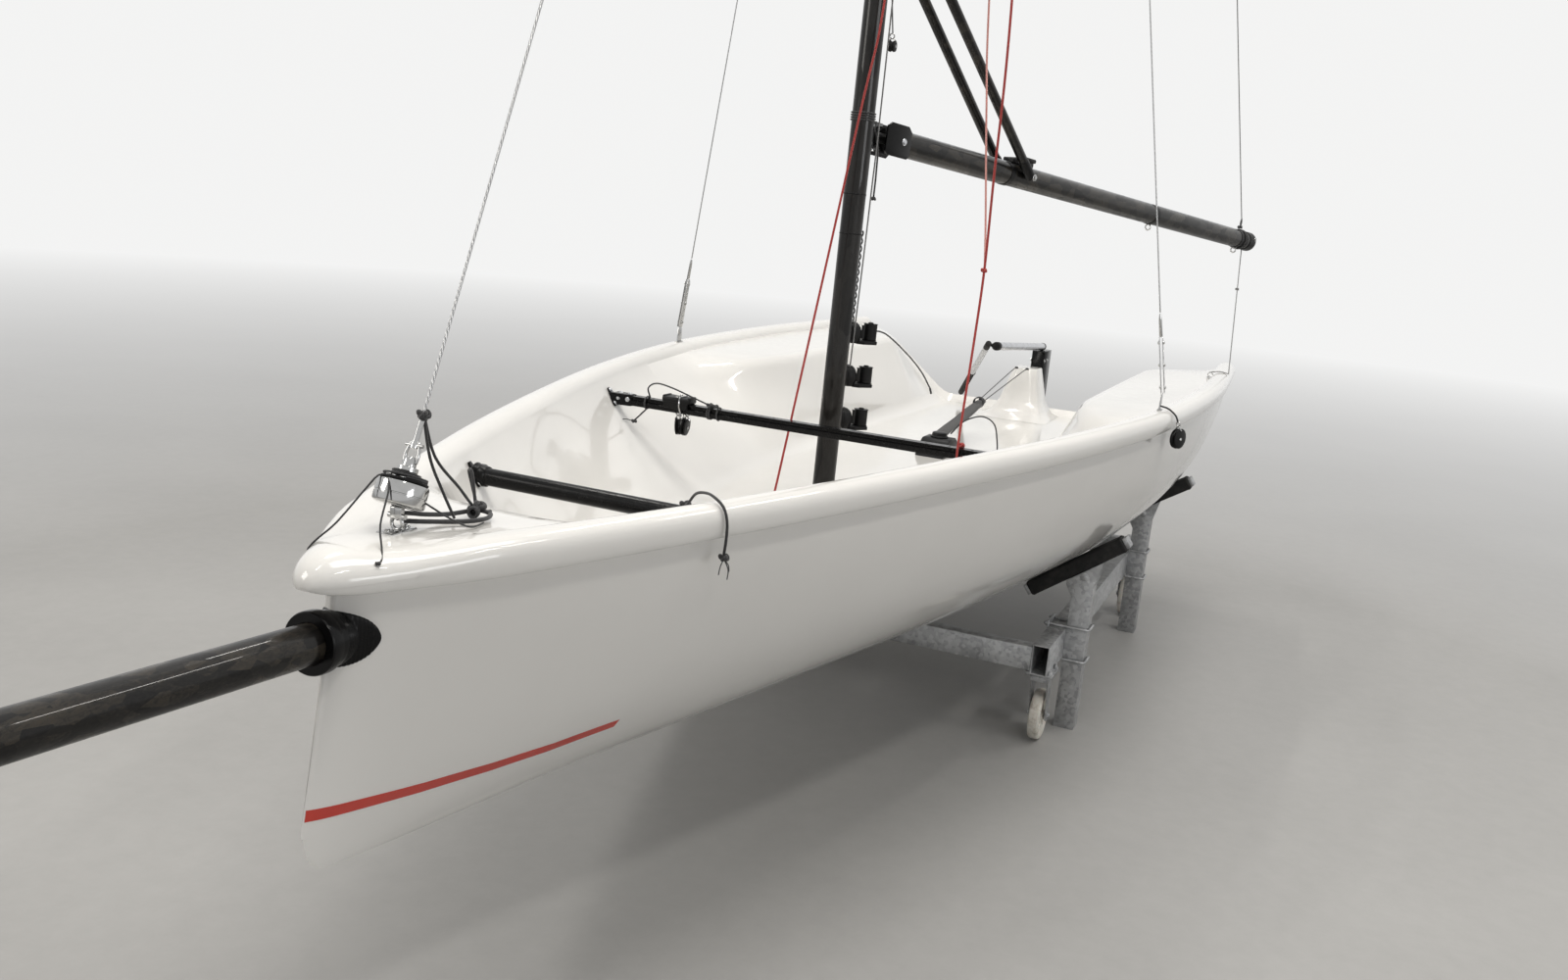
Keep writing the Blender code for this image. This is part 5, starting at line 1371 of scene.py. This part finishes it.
def make_car():
    """The car on the jib track with its double block, and the lines tied round the track."""
    def near(dx, dy, dz):
        return place(TRACK_PLACE[0] + dx, CAR_Y + dy, TRACK_PLACE[1] + dz)

    car = Build()
    car.block((0.052, 0.078, 0.015), near(0, 0, 0.0215), None, 0.005, 3)
    for side in (-1, 1):
        car.block((0.009, 0.070, 0.026), near(side * 0.0200, 0, 0.012), None, 0.003, 3)
        car.block((0.040, 0.010, 0.018), near(0, side * 0.036, 0.023), None, 0.004, 3)
    car.shade = 1
    for dx in (-0.012, 0.012):
        car.bolt(near(dx, 0, 0.029), (0, 0, 1), 0.0042, 0.0028, 14)
    car.shade = 0
    for dx, dy, axis, tilt in ((0.006, 0.006, (-0.30, 1, 0.10), -0.10),
                               (0.002, 0.024, (-0.12, 1, -0.10), 0.10)):
        block_wheel(car, near(dx, dy, -0.049), axis, (0, tilt, 1), 0.0230, 0.0048)
    car.shade = 1
    for dx in (-0.0215, 0.0215):
        car.line([(dx, 0.012, 0.031), (dx * 1.25, 0.013, 0.010), (dx * 0.6, 0.015, -0.018)],
                 0.004, 0.0021, at=near)
    car.tube([near(-0.0215, 0.012, 0.031), near(0.0215, 0.012, 0.031)], 0.0021, 9)
    car.hoop(near(0.010, 0.016, -0.020), (0, 1, 0), 0.0105, 0.0021, 8, 24)
    car.done("jib_car_blocks", [PLASTIC, STEEL], "boat", ["jib_car"])
    ties = Build()
    ties.line([(-0.014, -0.094, 0.012), (0.004, -0.092, 0.040), (0.008, -0.066, 0.056),
               (0.006, -0.020, 0.050), (0.006, 0.040, 0.034), (0.010, 0.092, 0.021)],
              0.006, 0.0021, at=near)
    ties.line([(-0.015, -0.094, 0.012), (-0.014, -0.098, -0.012), (0.004, -0.106, -0.030),
               (0.014, -0.120, -0.048)], 0.005, 0.0021, at=near)
    ties.knot(near(0.015, -0.122, -0.052), 0.0062, 0.0023)
    ties.line([(0.015, -0.126, -0.052), (0.016, -0.146, -0.050), (0.016, -0.158, -0.053)],
              0.005, 0.0011, 7, near)
    ties.knot(near(0.012, 0.096, 0.021), 0.0085, 0.0024)
    ties.knot(near(0.010, 0.112, 0.020), 0.0070, 0.0022)
    for dy in (0.090, 0.096, 0.118, -0.094):
        ties.tube([near(0.0165 * math.cos(a), dy, 0.0165 * math.sin(a)) for a in angles(24)],
                  0.0021, 8, True)
    ties.done("track_lashings", [BLACK_ROPE], "boat")


def make_crossbar():
    """A tube across the bow well with a flange at each wall, and the line tied round it."""
    x, z = CROSSBAR_PLACE
    half = wall_y(x, z) - 0.004
    bar = Build()
    bar.tube([place(x, y, z) for y in spread(-half, half, 16)], 0.017, 40, dome=False)
    bolts = [corner_flange(bar, x, z, side, 0.050) for side in (1, -1)]
    for side in (1, -1):
        bar.lathe(((0.0, 0.0240), (0.006, 0.0215), (0.026, 0.0196), (0.028, 0.0172)),
                  place(x, side * half, z), (0, -side, 0), 36)
        bar.block((0.040, 0.020, 0.040), place(x, side * (half - 0.006), z), None, 0.007, 3)
    bar.shade = 1
    for centre, across, up, inward in bolts:
        for a in (-0.019, 0.019):
            bar.bolt(centre + a * across - 0.018 * up, inward, 0.0042, 0.0028, 16)
    bar.done("bow_crossbar_tube", [SATIN, STEEL], "boat", ["bow_crossbar"])
    tie = Build()
    tail_x, tail_y, tail_z = x + 0.102, 0.3225, 0.512
    coil(tie, place(x, 0.190, z), (0, 1, 0), 0.0195, 0.0050, 3.2, 0.0052)
    tie.knot(place(x + 0.008, 0.196, z + 0.022), 0.0095, 0.0028)
    tie.line([(x + 0.008, 0.200, z + 0.024), (x + 0.035, 0.228, z + 0.052),
              (x + 0.066, 0.262, 0.6095), (x + 0.088, 0.288, 0.6110), (x + 0.099, 0.312, 0.6000),
              (tail_x, tail_y, 0.578), (x + 0.103, 0.3245, 0.550), (tail_x, 0.322, 0.520)],
             0.008, 0.0026, 10)
    tie.knot(place(tail_x, tail_y, 0.514), 0.0080, 0.0028)
    for dx, dy, dz in ((-0.012, 0.006, -0.024), (0.012, -0.002, -0.026), (0.002, 0.010, -0.034)):
        tie.line([(tail_x, tail_y, tail_z), (tail_x + 0.6 * dx, tail_y + dy, tail_z + 0.5 * dz),
                  (tail_x + dx, tail_y + dy, tail_z + dz)], 0.004, 0.0010, 7)
    tie.done("crossbar_tie", [BLACK_ROPE], "boat")


make_track()
make_car()
make_crossbar()


# Stern gear

def make_stern():
    """The stern tower, the rudder's fittings, head and blade."""
    dress("stern_tower", WHITE, 0.010, 30)
    for node in ("gudgeon_1", "gudgeon_2"):
        dress(node, STEEL, 0.0012)
    dress("rudder_head", SATIN, 0.0022)
    dress("rudder_blade", WHITE, 0.0010, 30)
    bolts = Build()
    for x in (-0.060, -0.110):
        for z in (0.395, 0.520):
            for side in (-1, 1):
                bolts.bolt(place(x - 0.02, side * 0.0272, z), (0, side, 0), 0.0050, 0.0030, 16)
    bolts.done("rudder_head_bolts", [STEEL], "rudder")


def make_tiller():
    """The tiller and, on a joint at its end, the extension with its ribbed grip."""
    start, joint = place(-0.140, 0.0, 0.560 + 0.0153), place(0.68, 0.0, 0.632)
    line, length = (joint - start).normalized(), (joint - start).length
    tube = Build()
    tube.lathe(((0.0, 0.0138), (0.001, 0.015), (length - 0.030, 0.015), (length - 0.029, 0.0146)),
               start, line, 40)
    tube.shade = 1
    tube.lathe(((length - 0.034, 0.0150), (length - 0.033, 0.0162), (length - 0.004, 0.0164),
                (length + 0.001, 0.0135), (length + 0.002, 0.004)), start, line, 40)
    tube.lathe(((-0.002, 0.004), (0.0, 0.0158), (0.014, 0.0160), (0.015, 0.0150)), start, line, 40)
    pivot = joint + Vector((-0.012, -0.034, 0.0))
    across = Vector((-0.37630, 0.92651, 0.0))
    tube.lathe(((0.0, 0.0065), (0.022, 0.0085), (0.034, 0.0070)), pivot + 0.0125 * across, across,
               24)
    tube.done("tiller_tube", [ALLOY, PLASTIC], "rudder", ["tiller"])
    end = place(0.05, -0.285, 0.354)
    run, reach = (end - pivot).normalized(), (end - pivot).length
    grip, rib = reach * 0.56, 0.004
    stick = Build()
    stick.lathe(((0.030, 0.0105), (0.031, 0.0118), (grip, 0.0118), (grip + 0.001, 0.010)), pivot,
                run, 32)
    stick.shade = 1
    stick.lathe(((-0.018, 0.008), (-0.016, 0.0115), (0.034, 0.0120), (0.036, 0.0110)), pivot, run,
                32)
    ribs = [(grip + rib + rib * k, 0.0122 if k % 2 else 0.0114) for k in range(1, 60)
            if grip + rib + rib * k < reach - 0.012]
    stick.lathe(((grip, 0.0105), (grip + rib, 0.0122), *ribs, (reach - 0.010, 0.0120),
                 (reach - 0.002, 0.0105), (reach, 0.004)), pivot, run, 32)
    stick.hoop(pivot + reach * 0.545 * run, run, 0.0125, 0.0022, 8, 28)
    stick.done("tiller_extension_grip", [ALLOY, RUBBER], "tiller_extension", ["tiller_extension"])


def make_mainsheet():
    """The swivel's moulded base in the middle of the floor."""
    base = place(1.30, 0.0, FLOOR_TOP)
    build = Build()
    outline = [(-0.10, 0.0), (0.10, 0.0), (0.094, 0.012), (0.046, 0.046), (0.036, 0.054),
               (-0.036, 0.054), (-0.046, 0.046), (-0.094, 0.012)]
    build.plate(outline, 0.098, Matrix.Translation(base) @ UPRIGHT, 0.004)
    build.lathe(((0.0, 0.030), (0.004, 0.030), (0.007, 0.026), (0.016, 0.024), (0.018, 0.020)),
                base + Vector((0.0, 0, 0.0545)), (0, 0, 1), 36)
    build.shade = 1
    for sx in (-0.080, 0.080):
        for sy in (-0.036, 0.036):
            build.bolt(base + Vector((sx, sy, 0.0135)), (0, 0, 1), 0.005, 0.0032, 14)
    build.done("mainsheet_swivel", [PLASTIC, STEEL], "boat", ["mainsheet_base"])


def make_strap():
    """Hiking strap: padded webbing from the swivel base aft, and the cords that hold it."""
    start = place(1.30, 0.0, FLOOR_TOP + 0.0595)
    rise = math.radians(7.0)
    along = Vector((-math.cos(rise), 0, math.sin(rise)))
    up = Vector((math.sin(rise), 0, math.cos(rise)))
    rings = []
    for distance in spread(-0.004, 0.516, 66):
        share = distance / 0.516
        half = 0.0225 if share < 0.72 else 0.0225 - 0.006 * (share - 0.72) / 0.28
        sag = 0.0016 * math.sin(9 * share)
        ring = []
        for t in angles(16):
            y = half * max(min(1.12 * math.cos(t), 1.0), -1.0)
            lift = 0.0034 * max(min(1.5 * math.sin(t), 1.0), -1.0) * (1.0 - 0.25 * (y / half)**4)
            ring.append(start + distance * along + (lift + sag + 0.0016) * up + Vector((0, y, 0)))
        rings.append(ring)
    build = Build().rings(rings)
    for y in (-0.0175, 0.0175):
        for k in range(40):
            at = start + (0.01 + 0.0125 * k) * along + 0.0052 * up + Vector((0, y, 0))
            build.block((0.006, 0.0012, 0.0009), at, None, 0)
    build.done("hiking_strap_webbing", [WEBBING], "boat", ["hiking_strap"], 50)
    cords = Build()
    aft = start + 0.512 * along + 0.004 * up
    for side in (-1, 1):
        cords.line([aft + Vector((-0.004, side * 0.010, 0.002)), (0.255, side * 0.022, 0.5065),
                    (0.200, side * 0.022, 0.5085)], 0.02, 0.0018, 8)
        cords.knot(place(0.200, side * 0.022, 0.5090), 0.0058, 0.0022)
    cords.knot(aft + Vector((-0.006, 0, 0.002)), 0.0100, 0.0030)
    coil(cords, aft + Vector((0.030, 0, -0.001)), (1, 0, -0.1), 0.0185, 0.0042, 4.0, 0.0048)
    cords.line([(1.245, 0.024, 0.374), (1.230, 0.060, 0.420), (1.170, 0.105, 0.436),
                (1.105, 0.135, 0.405), (1.080, 0.146, 0.345), (1.078, 0.150, 0.3125)],
               0.012, 0.0026)
    cords.done("strap_cords", [BLACK_ROPE], "boat")


make_stern()
make_tiller()
make_mainsheet()
make_strap()


# Cradle

POSTS_X, CASTORS_X = (0.62, 1.74), (0.43, 1.93)
BEAM_Y, BEAM_HEIGHT, POST_Y = 0.565, 0.265, 0.6203


def ground(x, y, z):
    """A point in boat axes along and across, and over the floor in height."""
    return Vector((x - MIDDLE_X, y, z))


def make_cradle():
    """Beams, cross tubes and posts, with the bent rods, nuts and plates that join them."""
    inner, outer, reach = BEAM_Y - 0.025, POST_Y + 0.030, 0.0355
    for node in ("beam_port", "beam_starboard", "cross_fore", "cross_aft"):
        dress(f"cradle_{node}", GALVANISED, 0.0022, 40)
    for side, side_label in SIDES:
        fixings = Build()
        for x, label in zip(POSTS_X, ("aft", "fore")):
            dress(f"cradle_post_{label}_{side_label}", GALVANISED, 0.0020, 40)
            make_pad(x, side, f"{label}_{side_label}")
            for height in (BEAM_HEIGHT - 0.0505, BEAM_HEIGHT + 0.0505):
                loop = [ground(x + dx, side * y, height)
                        for dx, y in ((-reach, inner - 0.014), (-reach, outer + 0.002),
                                      (-reach + 0.004, outer + 0.0055),
                                      (reach - 0.004, outer + 0.0055), (reach, outer + 0.002),
                                      (reach, inner - 0.014))]
                path = []
                for a, b in zip(loop, loop[1:]):
                    path += curve_points([a, b], 0.012)[:-1]
                fixings.tube(path + [loop[-1]], 0.0042, 10)
                for sx in (-reach, reach):
                    fixings.stud(ground(x + sx, side * (inner - 0.0052), height), (0, -side, 0),
                                 0.0040, 0.012)
            fixings.block((0.092, 0.005, 0.122),
                          ground(x, side * (BEAM_Y - 0.0277), BEAM_HEIGHT), None, 0.001)
        for x in CASTORS_X:
            for sx in (-0.037, 0.037):
                for sy in (-0.0305, 0.0305):
                    fixings.stud(ground(x + sx, side * BEAM_Y + sy, 0.2225), (0, 0, 1), 0.0040,
                                 0.014)
        fixings.done(f"cradle_fixings_{side_label}", [GALVANISED], "boat", angle=45)


def make_pad(x, side, label):
    """A square bar in a rubber sleeve, its bare ends showing, held by the post's pivot bolt."""
    node = frame["nodes"][f"cradle_pad_{label}"]
    points = np.array([tuple(node.matrix_world @ v.co) for v in node.data.vertices])
    middle = Vector(points.mean(axis=0))
    flat = (points - points.mean(axis=0))[:, 1:]
    longest = np.linalg.eigh(flat.T @ flat)[1][:, 1]
    across = Vector((0.0, *longest))
    across = across if across.y * side > 0 else -across
    normal = Vector((1, 0, 0)).cross(across).normalized()
    turn = Matrix((Vector((1, 0, 0)), across, normal)).transposed()
    build = Build()
    build.block((0.060, 0.318, 0.0450), middle, turn, 0.008, 4)
    for end in (-1, 1):
        build.block((0.0615, 0.012, 0.0465), middle + end * 0.150 * across, turn, 0.008, 4)
    build.shade = 1
    for end in (-1, 1):
        build.block((0.046, 0.014, 0.032), middle + end * 0.164 * across, turn, 0.003)
    build.done(f"pad_bar_{label}", [RUBBER, GALVANISED], "boat", [f"cradle_pad_{label}"])
    pin = Build()
    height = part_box(f"cradle_post_{label}")[1][2] - 0.052
    for end in (-1, 1):
        pin.bolt(ground(x + end * 0.0302, side * POST_Y, height), (end, 0, 0), 0.0085, 0.006)
    pin.done(f"pad_pivot_{label}", [GALVANISED], "boat")


def make_castors():
    """Forks under the beams with their swivel rings, wheels and axle bolts."""
    tread = ((-0.0165, 0.0080), (-0.0165, 0.0150), (-0.0155, 0.0165), (-0.0110, 0.0185),
             (-0.0105, 0.0440), (-0.0140, 0.0500), (-0.0162, 0.0560), (-0.0158, 0.0690),
             (-0.0120, 0.0735), (-0.0060, 0.0749))
    profile = (*tread, (0.0, 0.0750), *((-out, radius) for out, radius in reversed(tread)))
    for x, label in zip(CASTORS_X, ("aft", "fore")):
        for side, side_label in SIDES:
            name = f"{label}_{side_label}"
            dress(f"castor_fork_{name}", GALVANISED, 0.0014, 40)
            hub = ground(x - 0.034, side * BEAM_Y, 0.0755)
            wheel = Build().lathe(profile, hub, (0, 1, 0), 56)
            for angle in angles(6):
                spoke = Matrix.Rotation(angle, 3, "Y")
                wheel.block((0.027, 0.026, 0.0055), hub + spoke @ Vector((0.031, 0, 0)), spoke,
                            0.001)
            wheel.done(f"wheel_{name}", [NYLON], f"castor_wheel_{name}", [f"castor_wheel_{name}"],
                       35)
            axle = Build()
            for end in (-1, 1):
                axle.bolt(hub + Vector((0, end * 0.0256, 0)), (0, end, 0), 0.0080, 0.0055)
            axle.lathe(((0.0, 0.0240), (0.0015, 0.0262), (0.0060, 0.0262), (0.0075, 0.0240)),
                       ground(x, side * BEAM_Y, 0.1985), (0, 0, 1), 36)
            axle.done(f"axle_bolts_{name}", [GALVANISED], f"castor_fork_{name}")


make_cradle()
make_castors()


# Running rigging

def make_halyards():
    """The red halyard to its eye in the floor, and the slack red and pink ones to port."""
    eye_x, eye_y = 2.524, -0.0765
    rope("halyard_red", [(eye_x, eye_y, 0.324), (2.500, -0.059, 0.507), (2.400, 0.013, 1.312),
                         (2.380, 0.043, 1.601), (2.352, 0.050, 2.15), (2.312, 0.042, 3.50),
                         mast_place(HOUNDS + 0.25, -0.026, 0.024)], 0.0060, RED_ROPE)
    eye = Build()
    eye.block((0.050, 0.022, 0.003), place(eye_x, eye_y, 0.3118), None, 0.001)
    eye.hoop(place(eye_x, eye_y, 0.319), (1, 0, 0), 0.0068, 0.0020, 8, 20)
    for dx in (-0.017, 0.017):
        eye.bolt(place(eye_x + dx, eye_y, 0.3133), (0, 0, 1), 0.0034, 0.0022, 14)
    eye.done("halyard_eye", [STEEL], "boat")
    rope("halyard_port", [(2.5135, 0.4045, 0.562), (2.5140, 0.4045, 0.540),
                          (2.5300, 0.4045, 0.5310), (2.5460, 0.4045, 0.5380),
                          (2.5470, 0.4045, 0.570), (2.5390, 0.404, 0.640),
                          (2.5060, 0.402, 0.82), (2.487, 0.4008, 0.985), (2.498, 0.400, 1.19),
                          (2.520, 0.398, 1.59), (2.500, 0.345, 2.40), (2.395, 0.180, 3.70),
                          mast_place(HOUNDS, -0.015, 0.034)], 0.0060, RED_ROPE)
    rope("halyard_pale", [(2.487, 0.4015, 0.985), (2.440, 0.378, 1.09), (2.380, 0.330, 1.36),
                          (2.350, 0.296, 1.62), (2.330, 0.230, 2.50),
                          mast_place(HOUNDS, 0.0, 0.034)], 0.0050, PINK_ROPE)
    knots = Build()
    knots.knot(place(2.5145, 0.4045, 0.566), 0.0070, 0.0028)
    knots.knot(place(2.487, 0.4005, 0.985), 0.0064, 0.0025)
    knots.done("halyard_knots", [RED_ROPE], "boat")


def make_mast_lines():
    """The lines down the mast, the lashings round it and the tail from its lowest cleat."""
    rope("mast_line_aft", [(0.468, 0.066), (0.60, 0.058), (1.0, 0.062), (1.6, 0.048),
                           (2.6, 0.040), (HOUNDS, 0.034)], 0.0045, BLACK_ROPE, mast_place)
    rope("mast_line_side", [(0.36, 0.040, 0.024), (0.80, 0.038, 0.030), (1.35, 0.036, 0.031),
                            (HOUNDS, 0.0, 0.0335)], 0.0040, GREY_ROPE, mast_place)
    twist, twist_radius = Build(), 0.0042
    for phase in (0.0, math.pi):
        path = [mast_place(0.475 + 0.004 * k, 0.071 + twist_radius * math.cos(0.62 * k + phase),
                           0.004 + twist_radius * math.sin(0.62 * k + phase)) for k in range(60)]
        twist.tube(path, 0.0022, 8)
    for height in (0.985, 0.991, 0.997, 1.003):
        coil(twist, mast_place(height), MAST_UP, MAST_RADIUS + 0.0020, 0.0036, 1.0, 0.0)
    twist.knot(mast_place(0.994, 0.034, 0.008), 0.0090, 0.0026)
    twist.line([(0.994, 0.036, 0.010), (0.930, 0.046, 0.030), (0.860, 0.042, 0.036),
                (0.800, 0.048, 0.034)], 0.01, 0.0024, at=mast_place)
    twist.knot(mast_place(0.796, 0.048, 0.034), 0.0060, 0.0024)
    twist.done("mast_lashings", [BLACK_ROPE], "boat")
    tail, tail_end = Build(), (1.875, 0.119, 0.604)
    tail.line([(2.250, 0.040, 0.782), (2.200, 0.072, 0.778), (2.075, 0.100, 0.718),
               (1.953, 0.110, 0.659), tail_end], 0.012, 0.0022)
    tail.lathe(((0.0, 0.0022), (0.001, 0.0031), (0.020, 0.0031), (0.021, 0.0020)),
               place(*tail_end), (-0.55, 0.08, -0.8), 12)
    tail.done("cleat_tail", [BLACK_ROPE], "boat")


def make_small_block():
    """A small block hanging behind the mast."""
    rope("block_hanger", [(1.470, 0.045), (1.330, 0.105), (1.222, 0.150)], 0.0035, BLACK_ROPE,
         mast_place)
    block = Build()
    block_wheel(block, mast_place(1.190, 0.158), (0, 1, 0), (0.35, 0, 1), 0.0150)
    block.done("hanging_block", [PLASTIC, STEEL], "boat")


def make_gunwale_block():
    """A block on a short strop hanging outside the port gunwale beside the shroud plate."""
    x = CHAINPLATE_X
    strop, block = Build(), Build()
    strop.line([(x - 0.004, 0.765, 0.634), (x - 0.010, 0.785, 0.6285), (x - 0.016, 0.806, 0.612),
                (x - 0.020, 0.8135, 0.596)], 0.005, 0.0026)
    strop.done("gunwale_strop", [BLACK_ROPE], "boat")
    block_wheel(block, place(x - 0.026, 0.8205, 0.545), (0.55, 1, 0.15), (0.15, -0.10, 1), 0.0280)
    block.done("gunwale_block", [PLASTIC, STEEL], "boat")


def make_boom_lines():
    """The lashing at the boom's end, the line up to the masthead and the one to the gunwale."""
    lash = Build()
    for a in (2.292, 2.300, 2.308):
        lash.tube([boom_place(a, 0.0365 * math.cos(t), 0.0365 * math.sin(t)) for t in angles(30)],
                  0.0023, 8, True)
    lash.knot(boom_place(2.300, 0.046), 0.0085, 0.0025)
    lash.line([(2.300, 0.046), (2.292, 0.062, 0.006), (2.300, 0.078, 0.0), (2.308, 0.062, -0.006),
               (2.300, 0.047)], 0.004, 0.0020, 8, boom_place)
    lash.done("boom_lashing", [BLACK_ROPE], "boom")
    head, end = mast_place(MAST_LENGTH - 0.045, 0.0335), boom_place(2.300, 0.075)
    lift = Build().line([end, head], 0.05, 0.0019, 8).done("boom_lift", [GREY_ROPE], None)
    tuple(end)
    tuple(head)
    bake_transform(lift)
    top = boom_place(BOOM_LENGTH - 0.012, -0.0362)
    low, over = place(0.470, 0.7650, 0.6205), place(0.478, 0.8250, 0.6215)
    down = Build()
    down.tube(curve_points([top, over], 0.05)
              + curve_points([over, place(0.474, 0.795, 0.6255), low], 0.01)[1:], 0.0019, 8)
    down.knot(top.lerp(over, 0.33), 0.0060, 0.0022)
    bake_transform(down.done("boom_downline", [GREY_ROPE], None))
    eye = Build()
    eye.block((0.044, 0.020, 0.003), low + Vector((0, -0.004, -0.019)), None, 0.001)
    eye.hoop(low + Vector((0, -0.004, -0.010)), (1, 0, 0), 0.0080, 0.0021, 8, 20)
    eye.done("gunwale_eye", [STEEL], "boat")


make_halyards()
make_mast_lines()
make_small_block()
make_gunwale_block()
make_boom_lines()


# Floor, background and lights

BACKGROUND = (0.90, 0.90, 0.895, 1.0)


def make_floor():
    """A pale floor that takes the shadow near the boat and fades into the background far off."""
    data = bpy.data.meshes.new("floor")
    data.from_pydata([(-40, -40, 0), (40, -40, 0), (40, 40, 0), (-40, 40, 0)], [], [(0, 1, 2, 3)])
    item = put("floor", data)
    made = Shade("studio_floor", (0.36, 0.36, 0.35), 0.55)
    grain = made.maths("ADD", made.maths("MULTIPLY", made.noise(0.9, 4.0), 0.6),
                       made.maths("MULTIPLY", made.noise(16.0, 8.0, 0.7), 0.4))
    made.set(Base_Color=made.ramp(grain, (0.35, (0.335, 0.332, 0.325)),
                                  (0.65, (0.385, 0.382, 0.374))))
    tree = made.tree
    glow = made.node("ShaderNodeEmission", {"Color": BACKGROUND, "Strength": 1.0})
    distance = made.node("ShaderNodeVectorMath", {0: made.where}, operation="LENGTH")
    far = made.span(distance.outputs["Value"], 3.0, 16.0)
    eased = made.maths("POWER", far, 0.75)
    path = made.node("ShaderNodeLightPath").outputs
    shown = made.maths("MAXIMUM", path["Is Camera Ray"], path["Is Glossy Ray"])
    shown = made.maths("MAXIMUM", shown, path["Is Transmission Ray"])
    share = made.maths("MULTIPLY", eased, shown)
    mix = made.node("ShaderNodeMixShader", {0: share, 1: made.shader.outputs[0],
                                            2: glow.outputs[0]})
    tree.links.new(mix.outputs[0], tree.nodes["Material Output"].inputs["Surface"])
    data.materials.append(made.made)


def make_world():
    """Near white behind the boat, and for its own light a hall that is brighter overhead."""
    world = bpy.data.worlds.new("studio")
    bpy.context.scene.world = world
    world.use_nodes = True
    tree = world.node_tree
    light = tree.nodes["Background"]
    coordinates = tree.nodes.new("ShaderNodeTexCoord")
    split = tree.nodes.new("ShaderNodeSeparateXYZ")
    ramp = tree.nodes.new("ShaderNodeValToRGB")
    ramp.color_ramp.elements.new(0.25)
    for element, (position, tone) in zip(ramp.color_ramp.elements, (
            (0.0, (0.48, 0.475, 0.465)), (0.22, (0.13, 0.133, 0.14)), (0.85, (0.55, 0.535, 0.51)))):
        element.position, element.color = position, (*tone, 1.0)
    tree.links.new(coordinates.outputs["Generated"], split.inputs[0])
    tree.links.new(split.outputs["Z"], ramp.inputs[0])
    tree.links.new(ramp.outputs[0], light.inputs["Color"])
    light.inputs["Strength"].default_value = 0.80
    seen = tree.nodes.new("ShaderNodeBackground")
    seen.inputs["Color"].default_value = BACKGROUND
    path = tree.nodes.new("ShaderNodeLightPath").outputs
    mix = tree.nodes.new("ShaderNodeMixShader")
    shown = path["Is Camera Ray"]
    for ray in ("Is Glossy Ray", "Is Transmission Ray"):
        either = tree.nodes.new("ShaderNodeMath")
        either.operation = "MAXIMUM"
        tree.links.new(shown, either.inputs[0])
        tree.links.new(path[ray], either.inputs[1])
        shown = either.outputs[0]
    tree.links.new(shown, mix.inputs[0])
    tree.links.new(light.outputs[0], mix.inputs[1])
    tree.links.new(seen.outputs[0], mix.inputs[2])
    tree.links.new(mix.outputs[0], tree.nodes["World Output"].inputs["Surface"])


def make_light(name, location, target, size, energy, colour):
    data = bpy.data.lights.new(name, "AREA")
    data.shape = "RECTANGLE"
    data.size, data.size_y = size
    data.energy, data.color = energy, colour
    item = put(name, data)
    item.location = location
    item.rotation_euler = (Vector(location) - Vector(target)).to_track_quat("Z", "Y").to_euler()


make_floor()
make_world()
make_light("key", (0.5, 1.0, 8.5), (0.0, 0.0, 0.6), (5.0, 3.0), 310.0, (1.0, 0.97, 0.93))
make_light("left", (5.5, -5.0, 4.0), (0.5, 0.0, 0.7), (2.5, 2.5), 125.0, (1.0, 0.96, 0.90))
make_light("right", (3.0, 7.0, 2.6), (0.5, 0.0, 0.6), (3.0, 1.5), 75.0, (0.97, 0.98, 1.0))
STRIPS = ((3.4, 2.6), (0.6, 3.4), (-2.2, 2.6), (3.2, -1.6), (0.0, -2.4), (-3.0, -1.0))
for lamp, (lamp_x, lamp_y) in enumerate(STRIPS):
    make_light(f"strip_{lamp}", (lamp_x, lamp_y, 5.2), (lamp_x, 0.6 * lamp_y, 0.0), (1.6, 0.16),
               34.0, (1.0, 0.97, 0.92))

bpy.context.scene.view_settings.view_transform = "Standard"
